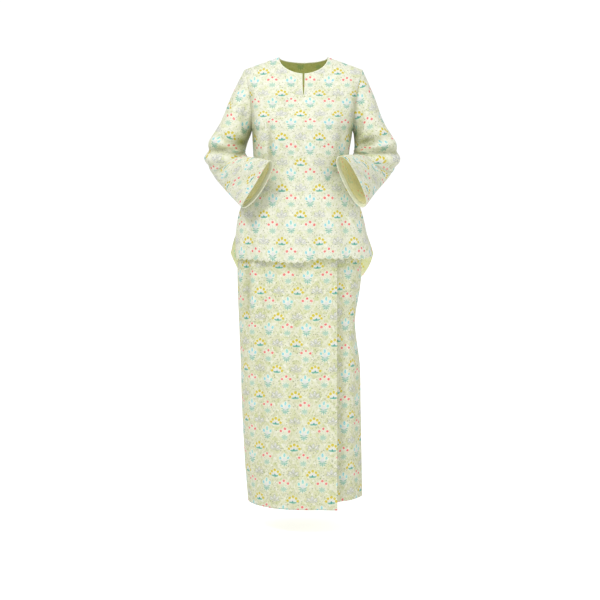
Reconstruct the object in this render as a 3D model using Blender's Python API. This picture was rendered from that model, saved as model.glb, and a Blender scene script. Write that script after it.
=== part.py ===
"""Baju kurung: long-sleeved blouse and ankle-length wrap skirt, worn, as hollow cloth walls.

Metres, +Z up, the front faces -Y and +X is the viewer's right. The origin is on the wearer,
level with the blouse's high shoulder points and centred between them.
"""

import math

import bpy
from mathutils import Vector

# Cloth and seams
WALL = 0.0016
SEAM_GAP = 0.0003
SEAM_SHARE = 0.6
SIDE_DEPTH = 0.12
RIGHT_ANGLE = 0.5 * math.pi

# Blouse cut
NECK_HALF_WIDTH = 0.075
NECK_DROP_FRONT = 0.058
NECK_DROP_BACK = 0.010
SHOULDER_HALF_WIDTH = 0.182
SHOULDER_SLOPE = math.tan(math.radians(20.0))
SHOULDER_TIP_Z = -(SHOULDER_HALF_WIDTH - NECK_HALF_WIDTH) * SHOULDER_SLOPE
SHOULDER_ROUND = 0.085
UNDERARM_Z = -0.226
ARMHOLE_HALF_DEPTH = 0.055
CHEST_SQUARENESS = 0.05
CHEST_TOP_Z = -0.060
CHEST_FULL_Z = -0.200
CHEST_LOW_Z = -0.220
CHEST_GONE_Z = -0.340
SLIT_BOTTOM_Z = -0.128
SLIT_WIDTH = 0.007
SLIT_STATIONS = 7
FRONT_HEM_Z = -0.632
FRONT_HEM_RISE = 0.009
BACK_HEM_Z = -0.720
BACK_HEM_SIDE_Z = -0.606
BACK_HEM_CURVE = 5.5
SIDE_SLIT_TOP_Z = -0.545
SIDE_SLIT_LENGTH = 0.085
SHOULDER_SEAM_START = 4e-6
LEFT_EDGE_SWING = math.radians(11.0)
RIGHT_EDGE_SWING = math.radians(4.0)

# Binding round the neck and the slit
BINDING_WIDTH = 0.0040
BINDING_THICK = 0.0010
BINDING_LIFT = 0.0016
NECK_STATIONS = 15

# Turned hem inside each cuff
CUFF_HEM_WIDTH = 0.017
CUFF_HEM_THICK = 0.0010

# Skirt cut
SKIRT_TOP_Z = -0.376
WAISTBAND_TOP_Z = -0.346
OVER_HEM_Z = -1.384
UNDER_HEM_Z = -1.370
BACK_SKIRT_HEM_Z = -1.376
WRAP_EDGE_X = 0.1034
WRAP_OVERLAP = 0.125
UNDER_RECESS_TOP = 0.0040
UNDER_RECESS_HEM = 0.020
WRAP_LIFT_HEM = 0.030

# One row for each level of the blouse: reach to the viewer's left and right, depth front and back
BLOUSE = [
    {"z": 0.030, "left": 0.182, "right": 0.182, "front": 0.030, "back": 0.046},
    {"z": 0.000, "left": 0.182, "right": 0.182, "front": 0.048, "back": 0.062},
    {"z": -0.040, "left": 0.182, "right": 0.182, "front": 0.068, "back": 0.080},
    {"z": -0.080, "left": 0.171, "right": 0.171, "front": 0.088, "back": 0.094},
    {"z": -0.130, "left": 0.163, "right": 0.162, "front": 0.110, "back": 0.104},
    {"z": -0.180, "left": 0.159, "right": 0.155, "front": 0.127, "back": 0.110},
    {"z": -0.226, "left": 0.159, "right": 0.152, "front": 0.132, "back": 0.110},
    {"z": -0.296, "left": 0.156, "right": 0.142, "front": 0.126, "back": 0.102},
    {"z": -0.370, "left": 0.152, "right": 0.140, "front": 0.117, "back": 0.102},
    {"z": -0.466, "left": 0.196, "right": 0.178, "front": 0.122, "back": 0.114},
    {"z": -0.545, "left": 0.211, "right": 0.198, "front": 0.127, "back": 0.126},
    {"z": -0.600, "left": 0.212, "right": 0.213, "front": 0.131, "back": 0.133},
    {"z": -0.640, "left": 0.212, "right": 0.220, "front": 0.133, "back": 0.138},
    {"z": -0.730, "left": 0.212, "right": 0.222, "front": 0.134, "back": 0.144},
]

# How far the back panel flares past the front one below the side slits
BACK_FLARE = [
    {"z": -0.545, "left": 0.000, "right": 0.000},
    {"z": -0.575, "left": 0.008, "right": 0.002},
    {"z": -0.606, "left": 0.016, "right": 0.005},
    {"z": -0.730, "left": 0.026, "right": 0.010},
]

# One row for each level of the skirt
SKIRT = [
    {"z": -0.340, "left": 0.130, "right": 0.130, "front": 0.098, "back": 0.092},
    {"z": -0.376, "left": 0.132, "right": 0.130, "front": 0.099, "back": 0.093},
    {"z": -0.450, "left": 0.162, "right": 0.152, "front": 0.107, "back": 0.101},
    {"z": -0.550, "left": 0.192, "right": 0.174, "front": 0.112, "back": 0.112},
    {"z": -0.640, "left": 0.205, "right": 0.181, "front": 0.116, "back": 0.119},
    {"z": -0.700, "left": 0.206, "right": 0.179, "front": 0.118, "back": 0.120},
    {"z": -0.820, "left": 0.202, "right": 0.1625, "front": 0.122, "back": 0.118},
    {"z": -0.959, "left": 0.197, "right": 0.178, "front": 0.128, "back": 0.116},
    {"z": -1.079, "left": 0.194, "right": 0.181, "front": 0.134, "back": 0.116},
    {"z": -1.272, "left": 0.185, "right": 0.185, "front": 0.145, "back": 0.118},
    {"z": -1.390, "left": 0.176, "right": 0.187, "front": 0.151, "back": 0.120},
]

# One row for each section of a sleeve: its point on the under-arm side (in), its point on the
# over-arm side (out), half its thickness across, and how far it bellies towards the body (belly).
# The first row is level with the armhole, the last is the cuff.
SLEEVE_RIGHT = [
    {"in": (0.1520, 0.000, -0.226), "out": (0.1830, 0.000, -0.039), "half": 0.055, "belly": 0.0},
    {"in": (0.1565, 0.000, -0.238), "out": (0.2160, 0.003, -0.112), "half": 0.055, "belly": 0.0},
    {"in": (0.1585, 0.000, -0.254), "out": (0.2460, 0.006, -0.193), "half": 0.054, "belly": 0.0},
    {"in": (0.1600, -0.005, -0.277), "out": (0.2790, 0.014, -0.252), "half": 0.053, "belly": 0.0},
    {"in": (0.1605, -0.012, -0.293), "out": (0.2965, 0.031, -0.308), "half": 0.052, "belly": 0.0},
    {"in": (0.1610, -0.024, -0.302), "out": (0.2670, 0.051, -0.358), "half": 0.047, "belly": 0.0},
    {"in": (0.1600, -0.046, -0.305), "out": (0.2400, 0.034, -0.396), "half": 0.039, "belly": 0.0},
    {"in": (0.1420, -0.104, -0.306), "out": (0.2160, -0.036, -0.421), "half": 0.031, "belly": 0.0},
    {"in": (0.1230, -0.148, -0.308), "out": (0.1985, -0.090, -0.442), "half": 0.027, "belly": 0.0},
    {"in": (0.1040, -0.190, -0.313), "out": (0.1810, -0.140, -0.463), "half": 0.025, "belly": 0.0},
]
SLEEVE_LEFT = [
    {"in": (-0.1590, 0.000, -0.226), "out": (-0.1830, 0.000, -0.039), "half": 0.055, "belly": 0.0},
    {"in": (-0.1640, 0.000, -0.238), "out": (-0.2200, 0.003, -0.112), "half": 0.055, "belly": 0.0},
    {"in": (-0.1710, 0.000, -0.254), "out": (-0.2520, 0.006, -0.190), "half": 0.054, "belly": 0.0},
    {"in": (-0.1800, -0.005, -0.278), "out": (-0.2850, 0.014, -0.250), "half": 0.052, "belly": 0.0},
    {"in": (-0.1860, -0.012, -0.295), "out": (-0.3010, 0.031, -0.308), "half": 0.050, "belly": 0.0},
    {"in": (-0.1860, -0.024, -0.304), "out": (-0.2740, 0.051, -0.357), "half": 0.046, "belly": 0.0},
    {"in": (-0.1790, -0.048, -0.309), "out": (-0.2480, 0.034, -0.397), "half": 0.039, "belly": 0.0},
    {"in": (-0.1520, -0.106, -0.313), "out": (-0.2250, -0.036, -0.424), "half": 0.029, "belly": 0.004},
    {"in": (-0.1240, -0.150, -0.319), "out": (-0.2040, -0.090, -0.445), "half": 0.022, "belly": 0.008},
    {"in": (-0.0960, -0.190, -0.326), "out": (-0.1836, -0.140, -0.465), "half": 0.017, "belly": 0.011},
]
SLEEVE_SQUARENESS = 0.07
CAP_BLEND_SECTIONS = 1.6

# The tool that cuts the slit: its top, and how far it reaches front to back
CUTTER_TOP_Z = -0.038
CUTTER_FRONT_Y = -0.150
CUTTER_BACK_Y = -0.040

# Mesh fineness
BLOUSE_COLUMNS = 20
NECK_COLUMNS = 5
BLOUSE_ROWS = 19
SLEEVE_AROUND = 20
SLEEVE_ALONG = 20
SLEEVE_STEP = 0.1
CUFF_EDGE_STEP = 0.01
SKIRT_ROWS = 10
OVER_COLUMNS = 9
OVER_EDGE_COLUMNS = 5
UNDER_COLUMNS = 7
BACK_SKIRT_COLUMNS = 16
WAIST_COLUMNS = 28

CLOTH = (0.84, 0.86, 0.66, 1.0)
CLOTH_DEEP = (0.74, 0.77, 0.54, 1.0)
CLOTH_PALE = (0.90, 0.92, 0.80, 1.0)


def material(name, colour, roughness):
    made = bpy.data.materials.new(name)
    made.use_nodes = True
    shader = made.node_tree.nodes["Principled BSDF"]
    shader.inputs["Base Color"].default_value = colour
    shader.inputs["Roughness"].default_value = roughness
    shader.inputs["Metallic"].default_value = 0.0
    return made


def smooth(value):
    """0 below 0, 1 above 1, an S-curve between."""
    value = min(max(value, 0.0), 1.0)
    return value * value * (3.0 - 2.0 * value)


def spline(before, start, end, after, t):
    """Catmull-Rom between start and end, for numbers or vectors."""
    a = 2.0 * start
    b = end - before
    c = 2.0 * before - 5.0 * start + 4.0 * end - after
    d = 3.0 * start - before - 3.0 * end + after
    return 0.5 * (a + b * t + c * t * t + d * t * t * t)


def level(table, column, z):
    """A column of a table of levels, read smoothly at height z."""
    heights = [row["z"] for row in table]
    z = min(max(z, heights[-1]), heights[0])
    upper = max(i for i in range(len(table) - 1) if heights[i] >= z)
    t = (heights[upper] - z) / (heights[upper] - heights[upper + 1])
    picks = [min(max(upper + k, 0), len(table) - 1) for k in (-1, 0, 1, 2)]
    return spline(*(table[k][column] for k in picks), t)


def eased_rows(count, start=0.25):
    """Fractions from 0 to 1, closer together at the start."""
    fractions = []
    for i in range(count + 1):
        v = i / count
        bent = v * v / (2.0 * start) if v < start else v - start / 2.0
        fractions.append(bent / (1.0 - start / 2.0))
    return fractions


def make_object(name, verts, faces, cloth):
    mesh = bpy.data.meshes.new(name)
    mesh.from_pydata(verts, [], faces)
    mesh.materials.append(cloth)
    mesh.shade_smooth()
    mesh.update()
    made = bpy.data.objects.new(name, mesh)
    bpy.context.scene.collection.objects.link(made)
    return made


def normal_at(surface, a, b):
    """Unit normal of surface(a, b), from its slopes."""
    step_a = 1e-3
    step_b = 1e-4
    along_a = surface(a + step_a, b) - surface(a - step_a, b)
    along_b = surface(a, b + step_b) - surface(a, b - step_b)
    return along_a.cross(along_b).normalized()


def grid(spot, us, vs):
    """Rows of places on a surface, in the surface's own two coordinates."""
    return [[spot(u, v) for u in us] for v in vs]


def cloth_wall(name, surface, spots, cloth, closed=False, wall=WALL, lift=0.0, flip=1.0):
    """A closed wall on a surface: its outer face lies there, its inner face one wall in."""
    columns = len(spots[0])
    outer = []
    inner = []
    for row in spots:
        for a, b in row:
            point = surface(a, b)
            out = normal_at(surface, a, b) * flip
            outer.append(point + out * lift)
            inner.append(point + out * (lift - wall))
    count = len(outer)
    faces = []
    spans = columns if closed else columns - 1
    for r in range(len(spots) - 1):
        for c in range(spans):
            a = r * columns + c
            b = r * columns + (c + 1) % columns
            d = a + columns
            e = b + columns
            faces.append((a, b, e, d))
            faces.append((d + count, e + count, b + count, a + count))
    last = (len(spots) - 1) * columns
    for c in range(spans):
        n = (c + 1) % columns
        faces.append((c, c + count, n + count, n))
        faces.append((last + n, last + n + count, last + c + count, last + c))
    if not closed:
        for r in range(len(spots) - 1):
            a = r * columns
            d = a + columns
            b = a + columns - 1
            e = b + columns
            faces.append((d, d + count, a + count, a))
            faces.append((b, b + count, e + count, e))
    winding = (outer[1] - outer[0]).cross(outer[columns] - outer[0])
    if winding.dot(outer[0] - inner[0]) < 0.0:
        faces = [tuple(reversed(face)) for face in faces]
    return make_object(name, outer + inner, faces, cloth)


def arc(first, last, steps):
    return [first + (last - first) * i / steps for i in range(steps + 1)]


# ---------------------------------------------------------------- blouse body


def shoulder_line(x):
    return -(abs(x) - NECK_HALF_WIDTH) * SHOULDER_SLOPE


def armhole_depth(z):
    """Half the armhole's width, front to back, at height z."""
    middle = (SHOULDER_TIP_Z + UNDERARM_Z) / 2.0
    reach = (SHOULDER_TIP_Z - UNDERARM_Z) / 2.0
    inside = 1.0 - ((z - middle) / reach) ** 2
    if z > middle:
        return ARMHOLE_HALF_DEPTH
    return ARMHOLE_HALF_DEPTH * math.sqrt(max(inside, 0.0))


def body_point(angle, z, side, flare):
    """A point of the blouse: angle 0 at its centre line, a right angle at its side seam."""
    reach = "right" if angle > 0.0 else "left"
    half = level(BLOUSE, reach, z) + flare * level(BACK_FLARE, reach, z)
    depth = level(BLOUSE, side, z)
    edge = armhole_depth(z)
    chest = smooth((CHEST_TOP_Z - z) / (CHEST_TOP_Z - CHEST_FULL_Z))
    chest *= 1.0 - smooth((CHEST_LOW_Z - z) / (CHEST_LOW_Z - CHEST_GONE_Z))
    square = 1.0 + CHEST_SQUARENESS * chest * math.sin(2.0 * angle) ** 2
    line = shoulder_line(SHOULDER_HALF_WIDTH * math.sin(angle))
    rise = min(max((line - z) / SHOULDER_ROUND, 0.0), 1.0)
    y = (edge + (depth - edge) * math.cos(angle) * square) * math.sqrt(1.0 - (1.0 - rise) ** 2)
    return Vector((half * math.sin(angle) * square, -y if side == "front" else y, z))


def front_surface(angle, z):
    return body_point(angle, z, "front", 0.0)


def back_surface(angle, z):
    return body_point(angle, z, "back", 1.0)


def neck_angles(steps_neck, steps_shoulder):
    """Angles across a panel, with one exactly at each high shoulder point."""
    half = []
    for i in range(steps_neck + 1):
        x = NECK_HALF_WIDTH * math.sin(RIGHT_ANGLE * i / steps_neck)
        half.append(math.asin(x / SHOULDER_HALF_WIDTH))
    corner = half[-1]
    for i in range(1, steps_shoulder + 1):
        half.append(corner + (RIGHT_ANGLE - corner) * i / steps_shoulder)
    return [-a for a in reversed(half[1:])] + half


def top_edge(angle, side):
    """Height of a panel's top edge: the neckline, then the shoulder seam."""
    x = SHOULDER_HALF_WIDTH * math.sin(angle)
    if abs(x) >= NECK_HALF_WIDTH:
        return shoulder_line(x)
    drop = NECK_DROP_FRONT if side == "front" else NECK_DROP_BACK
    return -drop * math.sqrt(1.0 - (x / NECK_HALF_WIDTH) ** 2)


def front_spot(angle, v):
    high = top_edge(angle, "front")
    low = FRONT_HEM_Z + FRONT_HEM_RISE * math.sin(angle) ** 2
    z = high + (low - high) * v
    opened = smooth((SIDE_SLIT_TOP_Z - z) / SIDE_SLIT_LENGTH)
    swing = RIGHT_EDGE_SWING if angle > 0.0 else LEFT_EDGE_SWING
    return angle * (1.0 - opened * swing / RIGHT_ANGLE), z


def back_spot(angle, v):
    high = top_edge(angle, "back")
    share = 1.0 - abs(math.sin(angle)) ** BACK_HEM_CURVE
    low = BACK_HEM_SIDE_Z + (BACK_HEM_Z - BACK_HEM_SIDE_Z) * share
    return angle, high + (low - high) * v


def panel_angles():
    """Angles across a blouse panel, drawn in from both side seams by its share of the gap."""
    limit = RIGHT_ANGLE - SEAM_SHARE * SEAM_GAP / SIDE_DEPTH
    angles = neck_angles(NECK_COLUMNS, BLOUSE_COLUMNS // 2 - NECK_COLUMNS)
    return [min(max(a, -limit), limit) for a in angles]


def make_blouse_front(cloth):
    rows = eased_rows(BLOUSE_ROWS)
    rows[0] = SHOULDER_SEAM_START
    spots = grid(front_spot, panel_angles(), rows)
    front = cloth_wall("blouse_front", front_surface, spots, cloth)
    cutter = bpy.data.meshes.new("slit_cutter")
    rise = (CUTTER_TOP_Z - SLIT_BOTTOM_Z) / (-NECK_DROP_FRONT - SLIT_BOTTOM_Z)
    wide = 0.5 * SLIT_WIDTH * rise
    outline = [(0.0, SLIT_BOTTOM_Z), (wide, CUTTER_TOP_Z), (-wide, CUTTER_TOP_Z)]
    verts = [(x, y, z) for y in (CUTTER_FRONT_Y, CUTTER_BACK_Y) for x, z in outline]
    sides = [(a, a + 3, (a + 1) % 3 + 3, (a + 1) % 3) for a in range(3)]
    cutter.from_pydata(verts, [], [(0, 1, 2), (5, 4, 3)] + sides)
    tool = bpy.data.objects.new("slit_cutter", cutter)
    tool.hide_render = True
    tool.display_type = "WIRE"
    bpy.context.scene.collection.objects.link(tool)
    cut = front.modifiers.new("neck_slit", "BOOLEAN")
    cut.object = tool
    cut.operation = "DIFFERENCE"


def make_blouse_back(cloth):
    rows = eased_rows(BLOUSE_ROWS)
    rows[0] = SHOULDER_SEAM_START
    spots = grid(back_spot, panel_angles(), rows)
    cloth_wall("blouse_back", back_surface, spots, cloth, flip=-1.0)


# ---------------------------------------------------------------- sleeves


def armhole_point(turn, hand):
    """A point of the armhole's edge: turn 0 at the shoulder tip, half a turn under the arm."""
    middle = (SHOULDER_TIP_Z + UNDERARM_Z) / 2.0
    reach = (SHOULDER_TIP_Z - UNDERARM_Z) / 2.0
    z = middle + reach * math.cos(turn)
    x = level(BLOUSE, "right" if hand > 0 else "left", z) + SEAM_GAP * 2.0
    rise = min((SHOULDER_TIP_Z - z) / SHOULDER_ROUND, 1.0)
    y = armhole_depth(z) * math.sqrt(1.0 - (1.0 - rise) ** 2)
    return Vector((hand * x, -math.copysign(y, math.sin(turn)), z))


def sleeve_row(table, t):
    """The under-arm point, over-arm point, half thickness and belly at section number t."""
    start = min(max(int(t), 0), len(table) - 2)
    picks = [min(max(start + k, 0), len(table) - 1) for k in (-1, 0, 1, 2)]
    share = t - start
    near = spline(*(Vector(table[k]["in"]) for k in picks), share)
    far = spline(*(Vector(table[k]["out"]) for k in picks), share)
    half = spline(*(table[k]["half"] for k in picks), share)
    belly = spline(*(table[k]["belly"] for k in picks), share)
    return near, far, half, belly


def sleeve_surface(table, hand):
    """A sleeve's surface: turn 0 over the arm, growing to the front, and section number t."""

    def tube(turn, t):
        near, far, half, belly = sleeve_row(table, t)
        before = sleeve_row(table, t - SLEEVE_STEP)
        after = sleeve_row(table, t + SLEEVE_STEP)
        along = (after[0] + after[1]) - (before[0] + before[1])
        over = (far - near) / 2.0
        across = along.cross(over).normalized() * hand
        square = 1.0 + SLEEVE_SQUARENESS * math.sin(2.0 * turn) ** 2
        thick = half * math.sin(turn) * square - belly * math.sin(turn) ** 2
        ring = over * (math.cos(turn) * square) + across * thick
        return (near + far) / 2.0 + ring

    def surface(turn, t):
        fitted = armhole_point(turn, hand) - tube(turn, 0.0)
        return tube(turn, t) + fitted * (1.0 - smooth(t / CAP_BLEND_SECTIONS))

    return surface


def around(steps):
    return [2.0 * math.pi * i / steps for i in range(steps)]


def make_sleeve(name, table, hand, cloth):
    sections = arc(0.0, len(table) - 1, SLEEVE_ALONG)
    rings = [[(turn, t) for turn in around(SLEEVE_AROUND)] for t in sections]
    cloth_wall(name, sleeve_surface(table, hand), rings, cloth, closed=True, flip=hand)


def make_cuff_hem(name, table, hand, cloth):
    """The turned hem, lying on the cuff's inner face."""
    last = len(table) - 1
    span = (sleeve_row(table, last)[0] - sleeve_row(table, last - 1)[0]).length
    rings = []
    for t in (last - CUFF_HEM_WIDTH / span, last - CUFF_EDGE_STEP):
        rings.append([(turn, t) for turn in around(SLEEVE_AROUND)])
    inside = -(WALL + SEAM_GAP * 2.0)
    surface = sleeve_surface(table, hand)
    cloth_wall(name, surface, rings, cloth, True, CUFF_HEM_THICK, inside, hand)


# ---------------------------------------------------------------- neck binding


def neck_path():
    """Stations round the neck and the slit: each a point on the edge and the cloth's normal."""
    slit_angle = math.asin(0.5 * SLIT_WIDTH / SHOULDER_HALF_WIDTH)
    right = []
    for i in range(SLIT_STATIONS):
        share = i / SLIT_STATIONS
        z = SLIT_BOTTOM_Z + (-NECK_DROP_FRONT - SLIT_BOTTOM_Z) * share
        x = 0.5 * SLIT_WIDTH * share
        right.append((front_surface, math.asin(x / level(BLOUSE, "right", z)), z))
    stations = neck_angles(NECK_STATIONS, 0)
    angles = [max(angle, slit_angle) for angle in stations if angle >= 0.0]
    for angle in angles:
        right.append((front_surface, angle, top_edge(angle, "front")))
    for angle in reversed(angles[1:]):
        right.append((back_surface, angle, top_edge(angle, "back")))
    left = [(surface, -angle, z) for surface, angle, z in reversed(right)]
    path = []
    for surface, angle, z in right + [(back_surface, 0.0, -NECK_DROP_BACK)] + left[:-1]:
        flip = 1.0 if surface is front_surface else -1.0
        path.append((surface(angle, z), normal_at(surface, angle, z) * flip))
    return path


def make_neck_binding(cloth):
    """A flat strip, four corners to a station, lying on the panels along the edge."""
    path = neck_path()
    count = len(path)
    verts = []
    for i, (point, out) in enumerate(path):
        along = (path[(i + 1) % count][0] - path[i - 1][0]).normalized()
        away = along.cross(out).normalized()
        low = point + out * BINDING_LIFT
        high = low + out * BINDING_THICK
        verts += [low, low + away * BINDING_WIDTH, high + away * BINDING_WIDTH, high]
    faces = []
    for i in range(count):
        a = 4 * i
        b = 4 * ((i + 1) % count)
        for k in range(4):
            n = (k + 1) % 4
            faces.append((b + k, b + n, a + n, a + k))
    make_object("neck_binding", verts, faces, cloth)


# ---------------------------------------------------------------- skirt


def skirt_point(angle, z, side, less=0.0):
    """A point of the skirt: angle 0 at the centre line, a right angle at the side seam."""
    half = level(SKIRT, "right" if angle > 0.0 else "left", z)
    depth = level(SKIRT, side, z) - less
    y = depth * math.cos(angle)
    return Vector((half * math.sin(angle), -y if side == "front" else y, z))


def down(top, hem, v):
    return top + (hem - top) * v


def over_surface(angle, z):
    """The panel on top, lifted forwards at its free edge towards the hem."""
    point = skirt_point(angle, z, "front")
    share = max((SKIRT_TOP_Z - z) / (SKIRT_TOP_Z - OVER_HEM_Z), 0.0)
    point.y -= WRAP_LIFT_HEM * share ** 1.5 * max(point.x / WRAP_EDGE_X, 0.0) ** 2
    return point


def over_spot(u, v):
    """u from -1 at the left seam, over 0 at the centre, to 1 at the free edge."""
    z = down(SKIRT_TOP_Z, OVER_HEM_Z, v)
    edge = math.asin(WRAP_EDGE_X / level(SKIRT, "right", z))
    return u * (edge if u > 0.0 else RIGHT_ANGLE), z


def under_surface(angle, z):
    share = (SKIRT_TOP_Z - z) / (SKIRT_TOP_Z - UNDER_HEM_Z)
    recess = UNDER_RECESS_TOP + (UNDER_RECESS_HEM - UNDER_RECESS_TOP) * share
    return skirt_point(angle, z, "front", less=recess)


def under_spot(u, v):
    """u from 0 at the hidden free edge to 1 at the right seam."""
    z = down(SKIRT_TOP_Z, UNDER_HEM_Z, v)
    hidden = math.asin((WRAP_EDGE_X - WRAP_OVERLAP) / level(SKIRT, "left", z))
    return hidden + (RIGHT_ANGLE - hidden) * u, z


def back_skirt_surface(angle, z):
    return skirt_point(angle, z, "back")


def back_skirt_spot(u, v):
    return RIGHT_ANGLE * u, down(SKIRT_TOP_Z, BACK_SKIRT_HEM_Z, v)


def waist_surface(angle, z):
    turned = math.asin(math.sin(angle))
    return skirt_point(turned, z, "front" if math.cos(angle) > 0.0 else "back")


def make_skirt(cloth):
    rows = arc(0.0, 1.0, SKIRT_ROWS)
    seam = SEAM_SHARE * SEAM_GAP / SIDE_DEPTH / RIGHT_ANGLE
    across = arc(seam - 1.0, 0.0, OVER_COLUMNS) + arc(0.0, 1.0, OVER_EDGE_COLUMNS)[1:]
    cloth_wall("skirt_over", over_surface, grid(over_spot, across, rows), cloth)
    across = arc(0.0, 1.0 - seam, UNDER_COLUMNS)
    cloth_wall("skirt_under", under_surface, grid(under_spot, across, rows), cloth)
    across = arc(seam - 1.0, 1.0 - seam, BACK_SKIRT_COLUMNS)
    cloth_wall("skirt_back", back_skirt_surface, grid(back_skirt_spot, across, rows), cloth, flip=-1.0)
    levels = (WAISTBAND_TOP_Z, SKIRT_TOP_Z + 2.0 * SEAM_GAP)
    band = [[(turn, z) for turn in around(WAIST_COLUMNS)] for z in levels]
    cloth_wall("skirt_waistband", waist_surface, band, cloth, closed=True)


def main():
    for old in list(bpy.data.objects):
        bpy.data.objects.remove(old, do_unlink=True)
    cloth = material("printed_cotton", CLOTH, 0.85)
    skirt_cloth = material("printed_cotton_skirt", CLOTH_DEEP, 0.85)
    trim = material("plain_trim", CLOTH_PALE, 0.8)
    make_blouse_front(cloth)
    make_blouse_back(cloth)
    make_sleeve("sleeve_right", SLEEVE_RIGHT, 1.0, cloth)
    make_sleeve("sleeve_left", SLEEVE_LEFT, -1.0, cloth)
    make_cuff_hem("cuff_hem_right", SLEEVE_RIGHT, 1.0, trim)
    make_cuff_hem("cuff_hem_left", SLEEVE_LEFT, -1.0, trim)
    make_neck_binding(trim)
    make_skirt(skirt_cloth)


main()
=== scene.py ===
import math

import bpy
import numpy as np
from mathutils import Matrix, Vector


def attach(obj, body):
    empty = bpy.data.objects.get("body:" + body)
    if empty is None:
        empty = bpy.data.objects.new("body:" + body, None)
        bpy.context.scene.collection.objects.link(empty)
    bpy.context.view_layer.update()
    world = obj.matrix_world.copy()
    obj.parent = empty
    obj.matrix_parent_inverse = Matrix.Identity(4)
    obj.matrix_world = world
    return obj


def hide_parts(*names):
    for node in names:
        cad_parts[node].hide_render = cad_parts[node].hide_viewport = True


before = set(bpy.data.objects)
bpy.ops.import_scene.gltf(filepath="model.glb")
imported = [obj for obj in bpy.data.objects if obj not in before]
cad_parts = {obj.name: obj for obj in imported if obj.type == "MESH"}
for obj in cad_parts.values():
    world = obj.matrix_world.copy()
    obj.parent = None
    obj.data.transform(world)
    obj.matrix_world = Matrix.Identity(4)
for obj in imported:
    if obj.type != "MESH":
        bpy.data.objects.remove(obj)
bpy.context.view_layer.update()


# ------------------------------------------------------------------ studio
# A pale, even studio: a wide matt floor below the hem, a bright surround and
# two big soft lights in front, with the camera a little above the blouse's hem.


def stand(name, data):
    """A new object for this mesh, lamp or camera, put in the scene."""
    made = bpy.data.objects.new(name, data)
    bpy.context.scene.collection.objects.link(made)
    return made


def soft_light(name, place, towards, size, power, colour):
    lamp = bpy.data.lights.new(name, "AREA")
    lamp.shape = "RECTANGLE"
    lamp.size, lamp.size_y = size
    lamp.energy = power
    lamp.color = colour
    made = stand(name, lamp)
    made.location = place
    made.rotation_euler = (Vector(towards) - Vector(place)).to_track_quat("-Z", "Y").to_euler()


lens = bpy.data.cameras.new("camera")
lens.lens = 70.95
lens.sensor_width = 36.0
camera = stand("camera", lens)
camera.location = (-0.0106, -3.7, -0.4808)
camera.rotation_euler = (math.radians(85.80), 0.0, 0.0)
bpy.context.scene.camera = camera
soft_light("key_light", (-1.3, -2.6, 2.3), (0.0, 0.0, -0.65), (1.2, 1.2), 76.0, (1.0, 0.99, 0.98))
soft_light("fill_light", (2.4, -2.6, 0.3), (0.0, 0.0, -0.7), (2.0, 2.4), 22.0, (0.98, 0.99, 1.0))

studio = bpy.data.worlds.new("studio")
studio.use_nodes = True
surround = studio.node_tree.nodes["Background"]
surround.inputs["Color"].default_value = (1.0, 1.0, 1.0, 1.0)
seen = studio.node_tree.nodes.new("ShaderNodeLightPath")
level_of_light = studio.node_tree.nodes.new("ShaderNodeMapRange")
level_of_light.inputs["To Min"].default_value = 0.63
level_of_light.inputs["To Max"].default_value = 1.05
studio.node_tree.links.new(seen.outputs["Is Camera Ray"], level_of_light.inputs["Value"])
studio.node_tree.links.new(level_of_light.outputs[0], surround.inputs["Strength"])
bpy.context.scene.world = studio
bpy.context.scene.view_settings.view_transform = "Standard"

FLOOR_Z, FLOOR_REACH = -1.471, 40.0
floor_mesh = bpy.data.meshes.new("floor")
floor_mesh.from_pydata(
    [(x * FLOOR_REACH, y * FLOOR_REACH, FLOOR_Z) for x, y in ((-1, -1), (1, -1), (1, 1), (-1, 1))],
    [], [(0, 1, 2, 3)],
)
floor = stand("floor", floor_mesh)
floor_paint = bpy.data.materials.new("studio_floor")
floor_paint.use_nodes = True
floor_shader = floor_paint.node_tree.nodes["Principled BSDF"]
floor_shader.inputs["Base Color"].default_value = (0.95, 0.95, 0.945, 1.0)
floor_shader.inputs["Roughness"].default_value = 0.9
floor_shader.inputs["Emission Color"].default_value = (1.0, 1.0, 1.0, 1.0)
floor_seen = floor_paint.node_tree.nodes.new("ShaderNodeLightPath")
floor_glow = floor_paint.node_tree.nodes.new("ShaderNodeMath")
floor_glow.operation = "MULTIPLY"
floor_glow.inputs[1].default_value = 0.62
floor_paint.node_tree.links.new(floor_seen.outputs["Is Camera Ray"], floor_glow.inputs[0])
floor_paint.node_tree.links.new(floor_glow.outputs[0], floor_shader.inputs["Emission Strength"])
floor_mesh.materials.append(floor_paint)


# ------------------------------------------------------------------ printed cotton
# The one cloth that both garments are cut from: plain-woven cotton lawn, pale
# yellow-green, screen printed in a half-drop of four small plants on speckled ground.


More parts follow.
